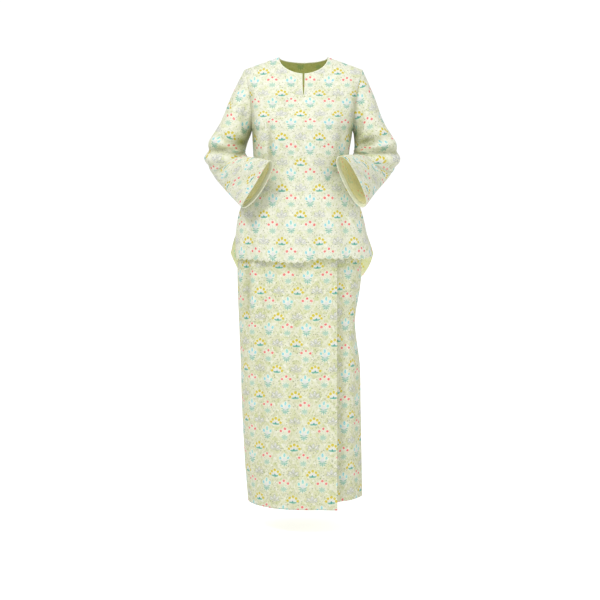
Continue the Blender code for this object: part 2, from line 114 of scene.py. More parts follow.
class Draft:
    """Draws a node tree in short lines: numbers or sockets go in, a socket comes out."""

    def __init__(self, tree):
        self.tree = tree

    def node(self, kind, inputs=(), out=0, **settings):
        made = self.tree.nodes.new(kind if "Node" in kind else "ShaderNode" + kind)
        for name, value in settings.items():
            setattr(made, name, value)
        for slot, value in dict(inputs).items():
            if isinstance(value, bpy.types.NodeSocket):
                self.tree.links.new(value, made.inputs[slot])
            else:
                made.inputs[slot].default_value = value
        return made.outputs[out]

    def wire(self, node, sockets):
        for slot, value in sockets.items():
            self.tree.links.new(value, node.inputs[slot])

    def math(self, operation, *values, clamp=False):
        return self.node("Math", enumerate(values), operation=operation, use_clamp=clamp)

    def vector(self, operation, *values):
        return self.node("VectorMath", enumerate(values), operation=operation)

    def over(self, base, colour, mask):
        return self.node("Mix", {0: mask, 6: base, 7: colour}, out=2, data_type="RGBA")

    def times(self, base, colour):
        sockets = {0: 1.0, 6: base, 7: colour}
        return self.node("Mix", sockets, out=2, data_type="RGBA", blend_type="MULTIPLY")

    def band(self, value, low, high, start=0.0, end=1.0):
        """start where value is low, end where it is high, an S-curve between."""
        sockets = {"Value": value, 1: low, 2: high, 3: start, 4: end}
        return self.node("MapRange", sockets, interpolation_type="SMOOTHSTEP")


def node_group(name, inputs, outputs, kind="Shader"):
    tree = bpy.data.node_groups.new(name, kind + "NodeTree")
    for label, kind in inputs:
        tree.interface.new_socket(label, in_out="INPUT", socket_type="NodeSocket" + kind)
    for label, kind in outputs:
        tree.interface.new_socket(label, in_out="OUTPUT", socket_type="NodeSocket" + kind)
    given = tree.nodes.new("NodeGroupInput").outputs
    wanted = tree.nodes.new("NodeGroupOutput").inputs
    return tree, Draft(tree), given, wanted


def new_material(name):
    made = bpy.data.materials.new(name)
    made.use_nodes = True
    return made, Draft(made.node_tree), made.node_tree.nodes["Principled BSDF"]


def dye(code):
    """A dye's colour from its sRGB code."""
    parts = [int(code[i : i + 2], 16) / 255.0 for i in (0, 2, 4)]
    return tuple(c / 12.92 if c <= 0.04045 else ((c + 0.055) / 1.055) ** 2.4 for c in parts) + (1.0,)


petal_tree, draw, given, wanted = node_group(
    "printed_petal",
    [("Vector", "Vector"), ("Place", "Vector"), ("Turn", "Vector"), ("Size", "Vector"),
     ("Point", "Float"), ("Taper", "Float"), ("Firm", "Float")],
    [("Mask", "Float")],
)
local = draw.node(
    "Mapping",
    {"Vector": given["Vector"], "Location": given["Place"], "Rotation": given["Turn"],
     "Scale": given["Size"]},
    vector_type="TEXTURE",
)
split = draw.node("SeparateXYZ", {0: local}).node
along, across = split.outputs[0], draw.math("ABSOLUTE", split.outputs[1])
room = draw.math("SUBTRACT", 1.0, draw.math("MULTIPLY", along, along))
TIP_EASE, LEAST_TAPER = 0.002, 0.2
depth = draw.math("SQRT", draw.math("ADD", draw.math("ABSOLUTE", room), TIP_EASE))
rounded = draw.math("DIVIDE", room, depth)
pointed = draw.math("MULTIPLY_ADD", draw.math("SUBTRACT", room, rounded), given["Point"], rounded)
tapered = draw.math("MAXIMUM", draw.math("MULTIPLY_ADD", along, given["Taper"], 1.0), LEAST_TAPER)
edge = draw.math("SUBTRACT", draw.math("MULTIPLY", pointed, tapered), across)
mask = draw.math("MULTIPLY_ADD", edge, given["Firm"], 0.5, clamp=True)
draw.tree.links.new(mask, wanted["Mask"])

MM = 0.001
# Each plant: layers of (ink, strength, petals). A petal is place across and up, turn, half length,
# half width, point (0 round, 1 pointed), taper and firmness. Places are mirrored left to right.
CORAL_PLANT = [
    ("cream", 0.5, [(0, 0, 90, 21, 15, 0, 0.1, 1.1)]),
    ("leaf_pale", 0.95, [(0, -6.5, 90, 6.5, 2.3, 1, 0, 3), (4.5, -8, 45, 6.5, 2.2, 1, 0, 3),
                         (6, -11, 4, 6.4, 1.7, 1, 0, 3), (4.6, -14.8, -35, 5, 1.5, 1, 0, 3),
                         (0, -14, 90, 7, 1.5, 1, 0, 3)]),
    ("stem", 0.45, [(0, 4, 90, 8, 0.5, 1, 0, 1), (6.5, 1, 50, 9, 0.5, 1, 0, 1)]),
    ("cream", 0.9, [(0, 16.5, 0, 5.6, 5.2, 0, 0, 2), (12.8, 9, 0, 5.6, 5.2, 0, 0, 2)]),
    ("coral", 0.95, [(0, 16.5, 0, 4.2, 3.9, 0, 0, 4), (12.8, 9, 0, 4.2, 3.9, 0, 0, 4)]),
    ("coral_deep", 0.55, [(0, 15.6, 0, 2.0, 1.7, 0, 0, 2), (12.8, 8.2, 0, 2.0, 1.7, 0, 0, 2)]),
]
BLUE_PLANT = [
    ("cream", 0.6, [(0, 0, 90, 22, 16, 0, 0.1, 1.1)]),
    ("lilac", 0.6, [(0, 0.5, 90, 6.5, 4.5, 0, 0, 2), (7.5, 1.5, 60, 6, 2.0, 1, 0, 2)]),
    ("leaf_pale", 0.75, [(0, -9.0, 0, 9.5, 6.6, 0.3, 0, 2)]),
    ("leaf", 0.95, [(7.8, -3.8, 26, 6.4, 1.3, 1, 0, 3), (7.6, -9.4, 2, 6.6, 1.2, 1, 0, 3),
                    (5.2, -14.2, -38, 5.6, 1.2, 1, 0, 3), (0, -14.0, 90, 8.0, 1.4, 1, 0, 3)]),
    ("lilac", 0.6, [(0, -3.0, 90, 3.6, 2.4, 0.6, 0, 2), (4.6, -6.6, 18, 4.2, 0.9, 0.6, 0, 2),
                    (3.4, -11.6, -18, 3.4, 0.8, 0.6, 0, 2)]),
    ("white", 0.9, [(0, 15, 90, 7.6, 4.4, 0.4, -0.25, 2), (12, 6.8, 78, 6.2, 4.6, 0.3, -0.2, 2)]),
    ("cyan", 1.0, [(0, 15, 90, 6.2, 3.1, 0.5, -0.3, 3), (12, 6.8, 78, 4.9, 3.4, 0.4, -0.25, 3)]),
    ("mint", 0.75, [(0, 15, 90, 6.0, 2.9, 0.5, -0.3, 3), (12, 6.8, 78, 4.7, 3.2, 0.4, -0.25, 3)]),
    ("lilac", 0.5, [(0, 13.5, 90, 2.6, 1.2, 0.5, 0, 2), (12, 5.8, 78, 2.0, 1.2, 0.5, 0, 2)]),
]
YELLOW_FAN = [
    ("cream", 0.6, [(0, -2, 0, 20, 14, 0, 0, 1.2)]),
    ("lilac", 0.7, [(0, -3, 90, 6, 2.4, 1, 0, 2), (5, -4.2, 60, 6, 2.2, 1, 0, 2),
                    (8.5, -7.2, 30, 5, 2.0, 1, 0, 2)]),
    ("leaf", 1.0, [(5.2, -10.2, 12, 7.4, 2.5, 1, 0.2, 3), (0, -9.6, 0, 7, 3.0, 0.4, 0, 3)]),
    ("teal", 1.0, [(0, -7.6, 90, 3.9, 2.4, 0.6, 0, 3)]),
    ("ochre", 1.0, [(0, 8, 0, 4.4, 4.3, 0, 0, 4), (10.2, 3.6, 0, 4.2, 4.2, 0, 0, 4),
                    (15.8, -4.8, 0, 4.1, 4.2, 0, 0, 4)]),
    ("orange", 0.22, [(0, 7.2, 0, 1.8, 1.7, 0, 0, 2), (10.2, 2.8, 0, 1.8, 1.7, 0, 0, 2),
                     (15.8, -5.6, 0, 1.8, 1.7, 0, 0, 2)]),
]
GREY_PALMETTE = [
    ("slate", 0.62, [(0, 5, 90, 7.8, 4.8, 0.5, 0, 3), (9.5, 0, 40, 8.0, 4.4, 0.5, 0, 3),
                     (13, -5, 5, 5.4, 2.8, 0.5, 0, 3)]),
    ("cream", 0.72, [(0, 5, 90, 5.8, 3.0, 0.5, 0, 3), (9.5, 0, 40, 6, 2.6, 0.5, 0, 3),
                     (13, -5, 5, 3.4, 1.3, 0.5, 0, 3)]),
    ("slate", 0.60, [(0, -4, 90, 8, 1.0, 1, 0, 2), (5, -9, -20, 6, 1.1, 1, 0, 2),
                     (0, 4, 90, 3.4, 1.0, 1, 0, 2)]),
]
INKS = {
    "cream": dye("F0F1E2"), "white": dye("EDF3EE"), "lilac": dye("DCDDE2"), "grey": dye("A9B3A8"),
    "coral": dye("EB7D78"), "coral_deep": dye("DE615E"), "cyan": dye("84D2DA"), "mint": dye("8CD8BE"),
    "leaf": dye("74B69F"), "leaf_pale": dye("ACCEBA"), "slate": dye("A3A8B4"), "stem": dye("B0C6A6"),
    "teal": dye("4C9F94"), "ochre": dye("D2C43E"), "orange": dye("DDA63C"),
}
SPRIG_STEP = 0.05875
SPRIG_ROW = 0.0795

print_tree, draw, given, wanted = node_group(
    "sprigged_print",
    [("Vector", "Vector"), ("Ground", "Color"), ("Patch", "Color"), ("Speck", "Color")],
    [("Color", "Color")],
)
place = given["Vector"]
INK_WANDER = 0.0044
wander = draw.node("TexNoise", {"Vector": place, "Scale": 55.0, "Detail": 1.0}, out="Color")
wander = draw.vector("SUBTRACT", wander, (0.5, 0.5, 0.5))
wander = draw.vector("MULTIPLY", wander, (INK_WANDER, INK_WANDER, 0.0))
drawn = draw.vector("ADD", place, wander)


def sprig_cells(shift):
    """Splits the cloth into one cell a plant: its own mirrored frame, and 0 or 1 in turn."""
    size = (SPRIG_STEP, SPRIG_ROW, 1.0)
    steps = draw.vector("DIVIDE", draw.vector("ADD", drawn, (*shift, 0.0)), size)
    cell = draw.vector("FLOOR", draw.vector("ADD", steps, (0.5, 0.5, 0.0)))
    inside = draw.vector("MULTIPLY", draw.vector("SUBTRACT", steps, cell), size)
    parts = draw.node("SeparateXYZ", {0: inside}).node
    half = draw.node("CombineXYZ", {0: draw.math("ABSOLUTE", parts.outputs[0]), 1: parts.outputs[1]})
    number = draw.node("SeparateXYZ", {0: cell}).node
    turn = draw.math("PINGPONG", draw.math("ADD", number.outputs[0], number.outputs[1]), 1.0)
    return half, turn


def ink_plant(base, plant, frame_socket, present):
    for ink, strength, petals in plant:
        here = draw.math("MULTIPLY", present, dabs) if ink in ("mint", "coral_deep") else present
        layer = None
        for x, y, turn, length, width, point, taper, firm in petals:
            shape = draw.node("Group", node_tree=petal_tree).node
            draw.tree.links.new(frame_socket, shape.inputs["Vector"])
            shape.inputs["Place"].default_value = (x * MM, y * MM, 0.0)
            shape.inputs["Turn"].default_value = (0.0, 0.0, math.radians(turn))
            shape.inputs["Size"].default_value = (length * MM, width * MM, 1.0)
            shape.inputs["Point"].default_value = point
            shape.inputs["Taper"].default_value = taper
            shape.inputs["Firm"].default_value = firm
            found = shape.outputs[0]
            layer = found if layer is None else draw.math("MAXIMUM", layer, found)
        layer = draw.math("MULTIPLY", draw.math("MULTIPLY", layer, here), strength)
        base = draw.over(base, INKS[ink], layer)
    return base


patches = draw.node("TexNoise", {"Vector": place, "Scale": 62.0, "Detail": 3.0, "Roughness": 0.6})
colour = draw.over(given["Ground"], given["Patch"], draw.band(patches, 0.42, 0.66))
blots = draw.node("TexNoise", {"Vector": draw.vector("ADD", place, (3.0, 7.0, 0.0)), "Scale": 95.0})
colour = draw.over(colour, INKS["cream"], draw.math("MULTIPLY", draw.band(blots, 0.52, 0.68), 0.75))
aside = draw.vector("ADD", place, (9.0, 2.0, 0.0))
scrolls = draw.node("TexNoise", {"Vector": aside, "Scale": 72.0, "Detail": 0.5})
vein = draw.band(draw.math("ABSOLUTE", draw.math("SUBTRACT", scrolls, 0.5)), 0.006, 0.022, 1.0, 0.0)
colour = draw.over(colour, INKS["grey"], draw.math("MULTIPLY", vein, 0.42))
netting = draw.node("SeparateXYZ", {0: drawn}).node
waves = [
    draw.math("COSINE", draw.math("MULTIPLY", netting.outputs[i], 2.0 * math.pi / size))
    for i, size in ((0, SPRIG_STEP), (1, SPRIG_ROW))
]
net = draw.math("ABSOLUTE", draw.math("ADD", *waves))
colour = draw.over(colour, INKS["cream"], draw.band(net, 0.06, 0.34, 0.42, 0.0))
# Two sizes of speck: how close they lie, their size, how many are left out and their strength
for scale, size, chance, depth in ((120.0, 0.20, 0.30, 0.80), (190.0, 0.24, 0.40, 0.62)):
    seeds = draw.node("TexVoronoi", {"Vector": place, "Scale": scale}).node
    near = draw.band(seeds.outputs["Distance"], size * 0.6, size * 1.5, 1.0, 0.0)
    pick = draw.node("SeparateColor", {0: seeds.outputs["Color"]})
    chosen = draw.math("GREATER_THAN", pick, chance)
    speck = draw.math("MULTIPLY", draw.math("MULTIPLY", near, chosen), depth)
    colour = draw.over(colour, given["Speck"], speck)

dabs = draw.band(draw.node("TexNoise", {"Vector": place, "Scale": 60.0, "Detail": 0.0}), 0.42, 0.58)
first_frame, first_turn = sprig_cells((0.0, 0.0))
second_frame, second_turn = sprig_cells((0.5 * SPRIG_STEP, 0.5 * SPRIG_ROW))
colour = ink_plant(colour, CORAL_PLANT, first_frame, draw.math("SUBTRACT", 1.0, first_turn))
colour = ink_plant(colour, BLUE_PLANT, first_frame, first_turn)
colour = ink_plant(colour, YELLOW_FAN, second_frame, second_turn)
colour = ink_plant(colour, GREY_PALMETTE, second_frame, draw.math("SUBTRACT", 1.0, second_turn))
fading = draw.node("TexNoise", {"Vector": place, "Scale": 320.0, "Detail": 2.0})
colour = draw.over(colour, INKS["cream"], draw.band(fading, 0.5, 0.8, 0.0, 0.42))
draw.tree.links.new(colour, wanted["Color"])

weave_tree, draw, given, wanted = node_group(
    "plain_weave",
    [("Vector", "Vector"), ("Thread", "Float")],
    [("Height", "Float"), ("Tone", "Float")],
)
counted = draw.vector("SCALE", given["Vector"])
threads_in = draw.math("DIVIDE", math.pi, given["Thread"])
draw.tree.links.new(threads_in, counted.node.inputs["Scale"])
threads = draw.node("SeparateXYZ", {0: counted}).node
warp = draw.math("ABSOLUTE", draw.math("SINE", threads.outputs[0]))
weft = draw.math("ABSOLUTE", draw.math("SINE", threads.outputs[1]))
slubs = [
    draw.node("TexNoise", {"Vector": draw.vector("MULTIPLY", given["Vector"], stretch), "Scale": 1.0})
    for stretch in ((1400.0, 60.0, 1.0), (60.0, 1400.0, 1.0))
]
slub = draw.math("ADD", *slubs)
cross = draw.math("MULTIPLY_ADD", warp, weft, draw.math("MULTIPLY", slub, 0.8))
draw.tree.links.new(cross, wanted["Height"])
draw.tree.links.new(draw.band(slub, 0.7, 1.3, 0.955, 1.035), wanted["Tone"])


# Olive that the cloth's colour is multiplied by wherever shade is painted
OLIVE_SHADE = "949848"
COTTON_SPECULAR = 0.22
LAWN_THREAD = 0.00045


def woven_on(pen, cloth_map, thread):
    """The weave on a cloth: its height, and its tone as a colour."""
    woven = pen.node("Group", node_tree=weave_tree).node
    woven.inputs["Thread"].default_value = thread
    pen.wire(woven, {"Vector": cloth_map})
    tone = pen.node("CombineXYZ", {i: woven.outputs["Tone"] for i in range(3)})
    return woven.outputs["Height"], tone


def cotton(name, ground, patch, speck, fade_and_shade_tint=None, fade_and_shade_share=0.0, painted_glow=0.0):
    """Printed cotton, or its wrong side: print faded and tinted olive, partly as painted shade, with a
    painted glow.
    """
    made, pen, shader = new_material(name)
    cloth_map = pen.node("UVMap", uv_map="cloth")
    printed = pen.node("Group", node_tree=print_tree).node
    for slot, value in (("Ground", ground), ("Patch", patch), ("Speck", speck)):
        printed.inputs[slot].default_value = dye(value)
    pen.wire(printed, {"Vector": cloth_map})
    height, tone = woven_on(pen, cloth_map, LAWN_THREAD)
    shade = pen.node("Attribute", out="Fac", attribute_name="shade")
    shown = printed.outputs[0]
    # On the wrong side the print fades and is tinted olive, partly as painted shade
    if fade_and_shade_tint:
        shown = pen.over(shown, dye(fade_and_shade_tint), fade_and_shade_share)
    # Painted shade: the colour is multiplied towards olive by the shade attribute
    shown = pen.over(shown, pen.times(shown, dye(OLIVE_SHADE)), shade)
    shown = pen.times(shown, tone)
    rough = pen.band(height, 0.3, 1.6, 0.92, 0.81)
    bump = pen.node("Bump", {"Height": height, "Distance": 0.00012, "Strength": 0.5})
    pen.wire(shader, {"Base Color": shown, "Roughness": rough, "Normal": bump})
    # A painted glow on the wrong side, standing in for light shining through the thin cloth
    if painted_glow:
        pen.wire(shader, {"Emission Color": shown})
        shader.inputs["Emission Strength"].default_value = painted_glow
    shader.inputs["Specular IOR Level"].default_value = COTTON_SPECULAR
    shader.inputs["Sheen Weight"].default_value = 0.12
    shader.inputs["Sheen Roughness"].default_value = 0.5
    return made


BLOUSE_COTTON = cotton("blouse_cotton", "E2E3CF", "D6DBB0", "9AA076")
# Wrong sides: faded print tinted olive, partly as painted shade, and a painted glow for light through the
# cloth
BLOUSE_WRONG_SIDE = cotton("blouse_wrong_side", "E2E2C8", "D6DAA8", "A4AA80", "DCDE98", 0.30, 0.42)
SLEEVE_WRONG_SIDE = cotton("sleeve_wrong_side", "E0E1C8", "D4D8AA", "A4AA80", "CFC88A", 0.55, 0.24)


# ------------------------------------------------------------------ blouse front
# The front panel, cut in one with a short slit at the neck: round neck, set-in
# armholes, soft shoulders, a hem cut in small scallops, edges free below the hips.

# One row for each level: height, reach to the viewer's left and right, depth front and back
BLOUSE = np.array([
    (0.030, 0.182, 0.182, 0.030, 0.046), (0.000, 0.182, 0.182, 0.048, 0.062),
    (-0.040, 0.182, 0.182, 0.068, 0.080), (-0.080, 0.171, 0.171, 0.088, 0.094),
    (-0.130, 0.163, 0.162, 0.110, 0.104), (-0.180, 0.159, 0.155, 0.127, 0.110),
    (-0.226, 0.159, 0.152, 0.132, 0.110), (-0.296, 0.156, 0.142, 0.126, 0.102),
    (-0.370, 0.152, 0.140, 0.117, 0.102), (-0.466, 0.196, 0.178, 0.122, 0.114),
    (-0.545, 0.211, 0.198, 0.127, 0.126), (-0.600, 0.212, 0.213, 0.131, 0.133),
    (-0.640, 0.212, 0.220, 0.133, 0.138), (-0.730, 0.212, 0.222, 0.134, 0.144),
])
LEFT, RIGHT, FRONT, BACK = 1, 2, 3, 4
NECK_HALF_WIDTH = 0.075
NECK_DROP = {FRONT: 0.058, BACK: 0.010}
SHOULDER_HALF_WIDTH = 0.182
SHOULDER_SLOPE = math.tan(math.radians(20.0))
SHOULDER_TIP_Z = -(SHOULDER_HALF_WIDTH - NECK_HALF_WIDTH) * SHOULDER_SLOPE
SHOULDER_ROUND = 0.085
UNDERARM_Z = -0.226
ARMHOLE_HALF_DEPTH = 0.055
SLIT_BOTTOM_Z = -0.128
SLIT_HALF_WIDTH = 0.0030
SLIT_OPENS_OVER = 0.045
SIDE_SLIT_TOP_Z = -0.545
CLOTH_WALL = 0.0007
# The chest is a little squarer than an oval between these heights
CHEST_SQUARE = 0.05
CHEST_TOP_Z, CHEST_TOP_OVER = -0.06, 0.14
CHEST_LOW_Z, CHEST_LOW_OVER = -0.22, 0.12
# Painted shade in fold troughs: full at this depth, and never more than this
DEEPEST_TROUGH, TROUGH_SHADE = 0.024, 0.5
# The front hem's height at places across it
HEM_X = (-0.213, -0.165, -0.108, -0.045, -0.005, 0.025, 0.050, 0.130, 0.145, 0.158, 0.178, 0.222)
HEM_Z = (-0.620, -0.622, -0.6265, -0.630, -0.629, -0.622, -0.617, -0.619, -0.612, -0.6205, -0.621, -0.611)
SCALLOP = 0.0212
SCALLOP_DEPTH = 0.0058


def smooth(value):
    value = np.clip(value, 0.0, 1.0)
    return value * value * (3.0 - 2.0 * value)


def spline(before, start, end, after, t):
    """A smooth curve through start and end."""
    b, c = end - before, 2.0 * before - 5.0 * start + 4.0 * end - after
    d = 3.0 * start - before - 3.0 * end + after
    return 0.5 * (2.0 * start + b * t + c * t * t + d * t * t * t)


def level(table, column, z):
    """A column of a table of levels, read smoothly at heights z."""
    heights = table[:, 0]
    z = np.clip(z, heights[-1], heights[0])
    upper = np.clip(np.searchsorted(-heights, -z, side="right") - 1, 0, len(table) - 2)
    t = (heights[upper] - z) / (heights[upper] - heights[upper + 1])
    picks = [table[np.clip(upper + k, 0, len(table) - 1), column] for k in (-1, 0, 1, 2)]
    return spline(*picks, t)


def armhole_depth(z):
    middle = (SHOULDER_TIP_Z + UNDERARM_Z) / 2.0
    reach = (SHOULDER_TIP_Z - UNDERARM_Z) / 2.0
    lower = np.sqrt(np.maximum(1.0 - ((z - middle) / reach) ** 2, 0.0))
    return ARMHOLE_HALF_DEPTH * np.where(z > middle, 1.0, lower)


def shoulder_rise(z, line):
    rise = np.clip((line - z) / SHOULDER_ROUND, 0.0, 1.0)
    return np.sqrt(1.0 - (1.0 - rise) ** 2)


def body_points(angle, z, side, flare=None):
    """The blouse's form: angle 0 at its centre line, a right angle at its side seam."""
    half = np.where(angle > 0.0, level(BLOUSE, RIGHT, z), level(BLOUSE, LEFT, z))
    if flare is not None:
        half = half + np.where(angle > 0.0, level(flare, RIGHT, z), level(flare, LEFT, z))
    edge = armhole_depth(z)
    chest = smooth((CHEST_TOP_Z - z) / CHEST_TOP_OVER)
    chest = chest * (1.0 - smooth((CHEST_LOW_Z - z) / CHEST_LOW_OVER))
    square = 1.0 + CHEST_SQUARE * chest * np.sin(2.0 * angle) ** 2
    line = -(np.abs(SHOULDER_HALF_WIDTH * np.sin(angle)) - NECK_HALF_WIDTH) * SHOULDER_SLOPE
    y = (edge + (level(BLOUSE, side, z) - edge) * np.cos(angle) * square) * shoulder_rise(z, line)
    return np.stack([half * np.sin(angle) * square, -y if side == FRONT else y, z], -1)


def top_edge(angle, side):
    """The neckline, then the shoulder seam."""
    x = SHOULDER_HALF_WIDTH * np.sin(angle)
    neck = -NECK_DROP[side] * np.sqrt(np.maximum(1.0 - (x / NECK_HALF_WIDTH) ** 2, 0.0))
    return np.where(np.abs(x) < NECK_HALF_WIDTH, neck, -(np.abs(x) - NECK_HALF_WIDTH) * SHOULDER_SLOPE)


NECK_COLUMNS_SHARE, SLIT_COLUMN_SHARE = 0.34, 0.0012


def panel_angles(count):
    """Angles across a panel, both ways from the centre line, never quite on it."""
    corner = math.asin(NECK_HALF_WIDTH / SHOULDER_HALF_WIDTH)
    necked = round(count * NECK_COLUMNS_SHARE)
    reach = np.linspace(SLIT_COLUMN_SHARE, 1.0, necked)
    inner = np.arcsin(NECK_HALF_WIDTH / SHOULDER_HALF_WIDTH * reach)
    outer = np.linspace(corner, math.pi / 2.0, count - necked + 1)[1:]
    half = np.concatenate([inner, outer])
    return np.concatenate([-half[::-1], half])


def eased(count, start=0.25):
    """Shares from 0 to 1, closer together at the start."""
    v = np.linspace(0.0, 1.0, count)
    return np.where(v < start, v * v / (2.0 * start), v - start / 2.0) / (1.0 - start / 2.0)


def grid_normals(points, centre, closed=False):
    """Unit normals of a grid of points, away from centre."""
    wide = np.concatenate([points[:, -1:], points, points[:, :1]], 1) if closed else points
    across = np.gradient(wide, axis=1)[:, 1:-1] if closed else np.gradient(wide, axis=1)
    out = np.cross(across, np.gradient(points, axis=0))
    out /= np.maximum(np.linalg.norm(out, axis=-1, keepdims=True), 1e-12)
    return out if np.sum(out * (points - centre)) > 0.0 else -out


def crease(ruler, start, end, width, depth, tail=0.3):
    """A soft fold between two places on a panel, dying away at both ends: below 0 a trough."""
    start, end = np.array(start), np.array(end)
    run = end - start
    share = ((ruler - start) @ run) / (run @ run)
    away = np.abs((ruler[..., 0] - start[0]) * run[1] - (ruler[..., 1] - start[1]) * run[0])
    away = away / np.linalg.norm(run)
    ends = smooth((share + tail) / (2.0 * tail)) * smooth((1.0 + tail - share) / (2.0 * tail))
    return depth * np.exp(-((away / width) ** 2)) * ends


def creased(points, centre, ruler, creases, hold, closed=False):
    """Points with their folds put in, and the shade painted in each trough by how deep it lies."""
    lift = sum(crease(ruler, *row) for row in creases) * hold
    moved = points + grid_normals(points, centre, closed) * lift[..., None]
    return moved, np.clip(-lift / DEEPEST_TROUGH, 0.0, TROUGH_SHADE)


def on_axis(z):
    """The places on the upright middle line at heights z."""
    return np.stack([0.0 * z, 0.0 * z, z], -1)


def shaded(ruler, spots):
    """Painted shade in hollows: place, reach each way and strength of each spot."""
    total = 0.0
    for place, reach, strength in spots:
        away = (ruler - np.array(place)) / np.array(reach)
        total = total + strength * np.exp(-np.sum(away * away, -1))
    return total


def cloth_lengths(points, middle):
    """Lengths across the cloth in metres, from its middle column."""
    across = np.linalg.norm(np.diff(points, axis=1), axis=-1)
    u = np.concatenate([np.zeros((len(points), 1)), np.cumsum(across, 1)], 1)
    return u - u[:, middle : middle + 1]


SEAM_BEND = 0.0009


def turned_edge(grid, normals, side, depth):
    """One more row or column that turns the edge in behind the seam."""
    order = {"first": (0, 1), "last": (-1, -2)}
    at, nearby = order[side[1]]
    if side[0] == "column":
        edge, inner, out = grid[:, at], grid[:, nearby], normals[:, at]
    else:
        edge, inner, out = grid[at], grid[nearby], normals[at]
    back = inner - edge
    back /= np.maximum(np.linalg.norm(back, axis=-1, keepdims=True), 1e-9)
    flap = edge - out * np.reshape(depth, (-1, 1)) + back * SEAM_BEND
    axis = 1 if side[0] == "column" else 0
    flap = np.expand_dims(flap, axis)
    parts = [flap, grid] if side[1] == "first" else [grid, flap]
    return np.concatenate(parts, axis)


def padded_like(values, side):
    axis = 1 if side[0] == "column" else 0
    edge = values[:, :1] if side == ("column", "first") else values[:, -1:] if axis else values[:1]
    parts = [edge, values] if side[1] == "first" else [values, edge]
    return np.concatenate(parts, axis)


def link_mesh(name, verts, faces, materials, smooth_faces):
    mesh = bpy.data.meshes.new(name)
    mesh.from_pydata(verts.tolist(), [], faces.tolist())
    for cloth in materials:
        mesh.materials.append(cloth)
    mesh.polygons.foreach_set("use_smooth", smooth_faces)
    return stand(name, mesh)


def cloth_shell(
    name, points, uv, shade, centre, materials,
    closed=False, missing=None, wall=CLOTH_WALL, inner_shade=0.0,
):
    """A thin closed shell of cloth on a grid of points: its right side lies on them."""
    rows, columns = points.shape[:2]
    normals = grid_normals(points, centre, closed)
    number = np.arange(rows * columns).reshape(rows, columns)
    spans = columns if closed else columns - 1
    after = np.roll(number, -1, 1)[:, :spans] if closed else number[:, 1:]
    here = number[:, :spans]
    quads = np.stack([here[:-1], after[:-1], after[1:], here[1:]], -1).reshape(-1, 4)
    u = uv if uv.shape[1] > columns or not closed else np.concatenate([uv, uv[:, :1]], 1)
    corners = np.stack([u[:-1, :spans], u[:-1, 1 : spans + 1], u[1:, 1 : spans + 1], u[1:, :spans]], 2)
    corners = corners.reshape(-1, 4, 2)
    if missing is not None:
        quads, corners = quads[~missing.reshape(-1)], corners[~missing.reshape(-1)]
    flat = points.reshape(-1, 3)
    a, b, d = flat[quads[:, 0]], flat[quads[:, 1]], flat[quads[:, 3]]
    facing = np.sum(np.cross(b - a, d - a) * normals.reshape(-1, 3)[quads[:, 0]])
    if facing < 0.0:
        quads, corners = quads[:, ::-1], corners[:, ::-1]
    total = rows * columns
    edges = np.stack([quads, np.roll(quads, -1, 1)], -1).reshape(-1, 2)
    keys, turned = edges[:, 0] * total + edges[:, 1], edges[:, 1] * total + edges[:, 0]
    rim = ~np.isin(turned, keys)
    i, j = edges[rim].T
    rims = np.stack([j, i, i + total, j + total], -1)
    edge_uv = np.stack([corners, np.roll(corners, -1, 1)], 2).reshape(-1, 2, 2)[rim]
    rim_uv = np.stack([edge_uv[:, 1], edge_uv[:, 0], edge_uv[:, 0], edge_uv[:, 1]], 1)
    faces = np.concatenate([quads, quads[:, ::-1] + total, rims])
    face_uv = np.concatenate([corners, corners[:, ::-1], rim_uv])
    verts = np.concatenate([flat, (points - normals * wall).reshape(-1, 3)])
    used = np.unique(faces)
    renumber = np.zeros(2 * total, int)
    renumber[used] = np.arange(len(used))
    kinds = np.repeat([0, 1, 0], [len(quads), len(quads), len(rims)])
    soft = np.repeat([True, True, False], [len(quads), len(quads), len(rims)])
    made = link_mesh(name, verts[used], renumber[faces], materials, soft)
    mesh = made.data
    mesh.polygons.foreach_set("material_index", kinds)
    mesh.uv_layers.new(name="cloth").data.foreach_set("uv", face_uv.reshape(-1))
    # The painted shade by point; the inner face gets inner_shade more of it
    tone = mesh.attributes.new("shade", "FLOAT", "POINT")
    both = np.concatenate([shade.reshape(-1), (shade + inner_shade).reshape(-1)])
    tone.data.foreach_set("value", both[used].astype(np.float32))
    mesh.update()
    return made


def scallops(run, depth=SCALLOP_DEPTH):
    """How far a scalloped edge hangs below its line, at lengths run along it."""
    return depth * np.abs(np.sin(math.pi * run / SCALLOP))


# Print rows fall at these heights on the front; the next row is one repeat lower
PRINT_ROWS_Z = (0.060, -0.0856, -0.1512, -0.2134, -0.2897, -0.3650, -0.4440, -0.5239, -0.6054, -0.770)
PRINT_ROWS_V = (2.02, 0.0, -1.0, -2.0, -3.0, -4.0, -5.0, -6.0, -7.0, -9.02)
PRINT_SCALE_X = 1.025
CORAL_AT_X = 0.0203

PANEL_HALF_COLUMNS, FRONT_ROWS = 140, 142
TOP_ROW_SHARE = 2e-6
HEM_LEVEL_Z = -0.62
SIDE_SLIT_OPENS_OVER = 0.085
SWING_RIGHT, SWING_LEFT = math.radians(4.0), math.radians(11.0)

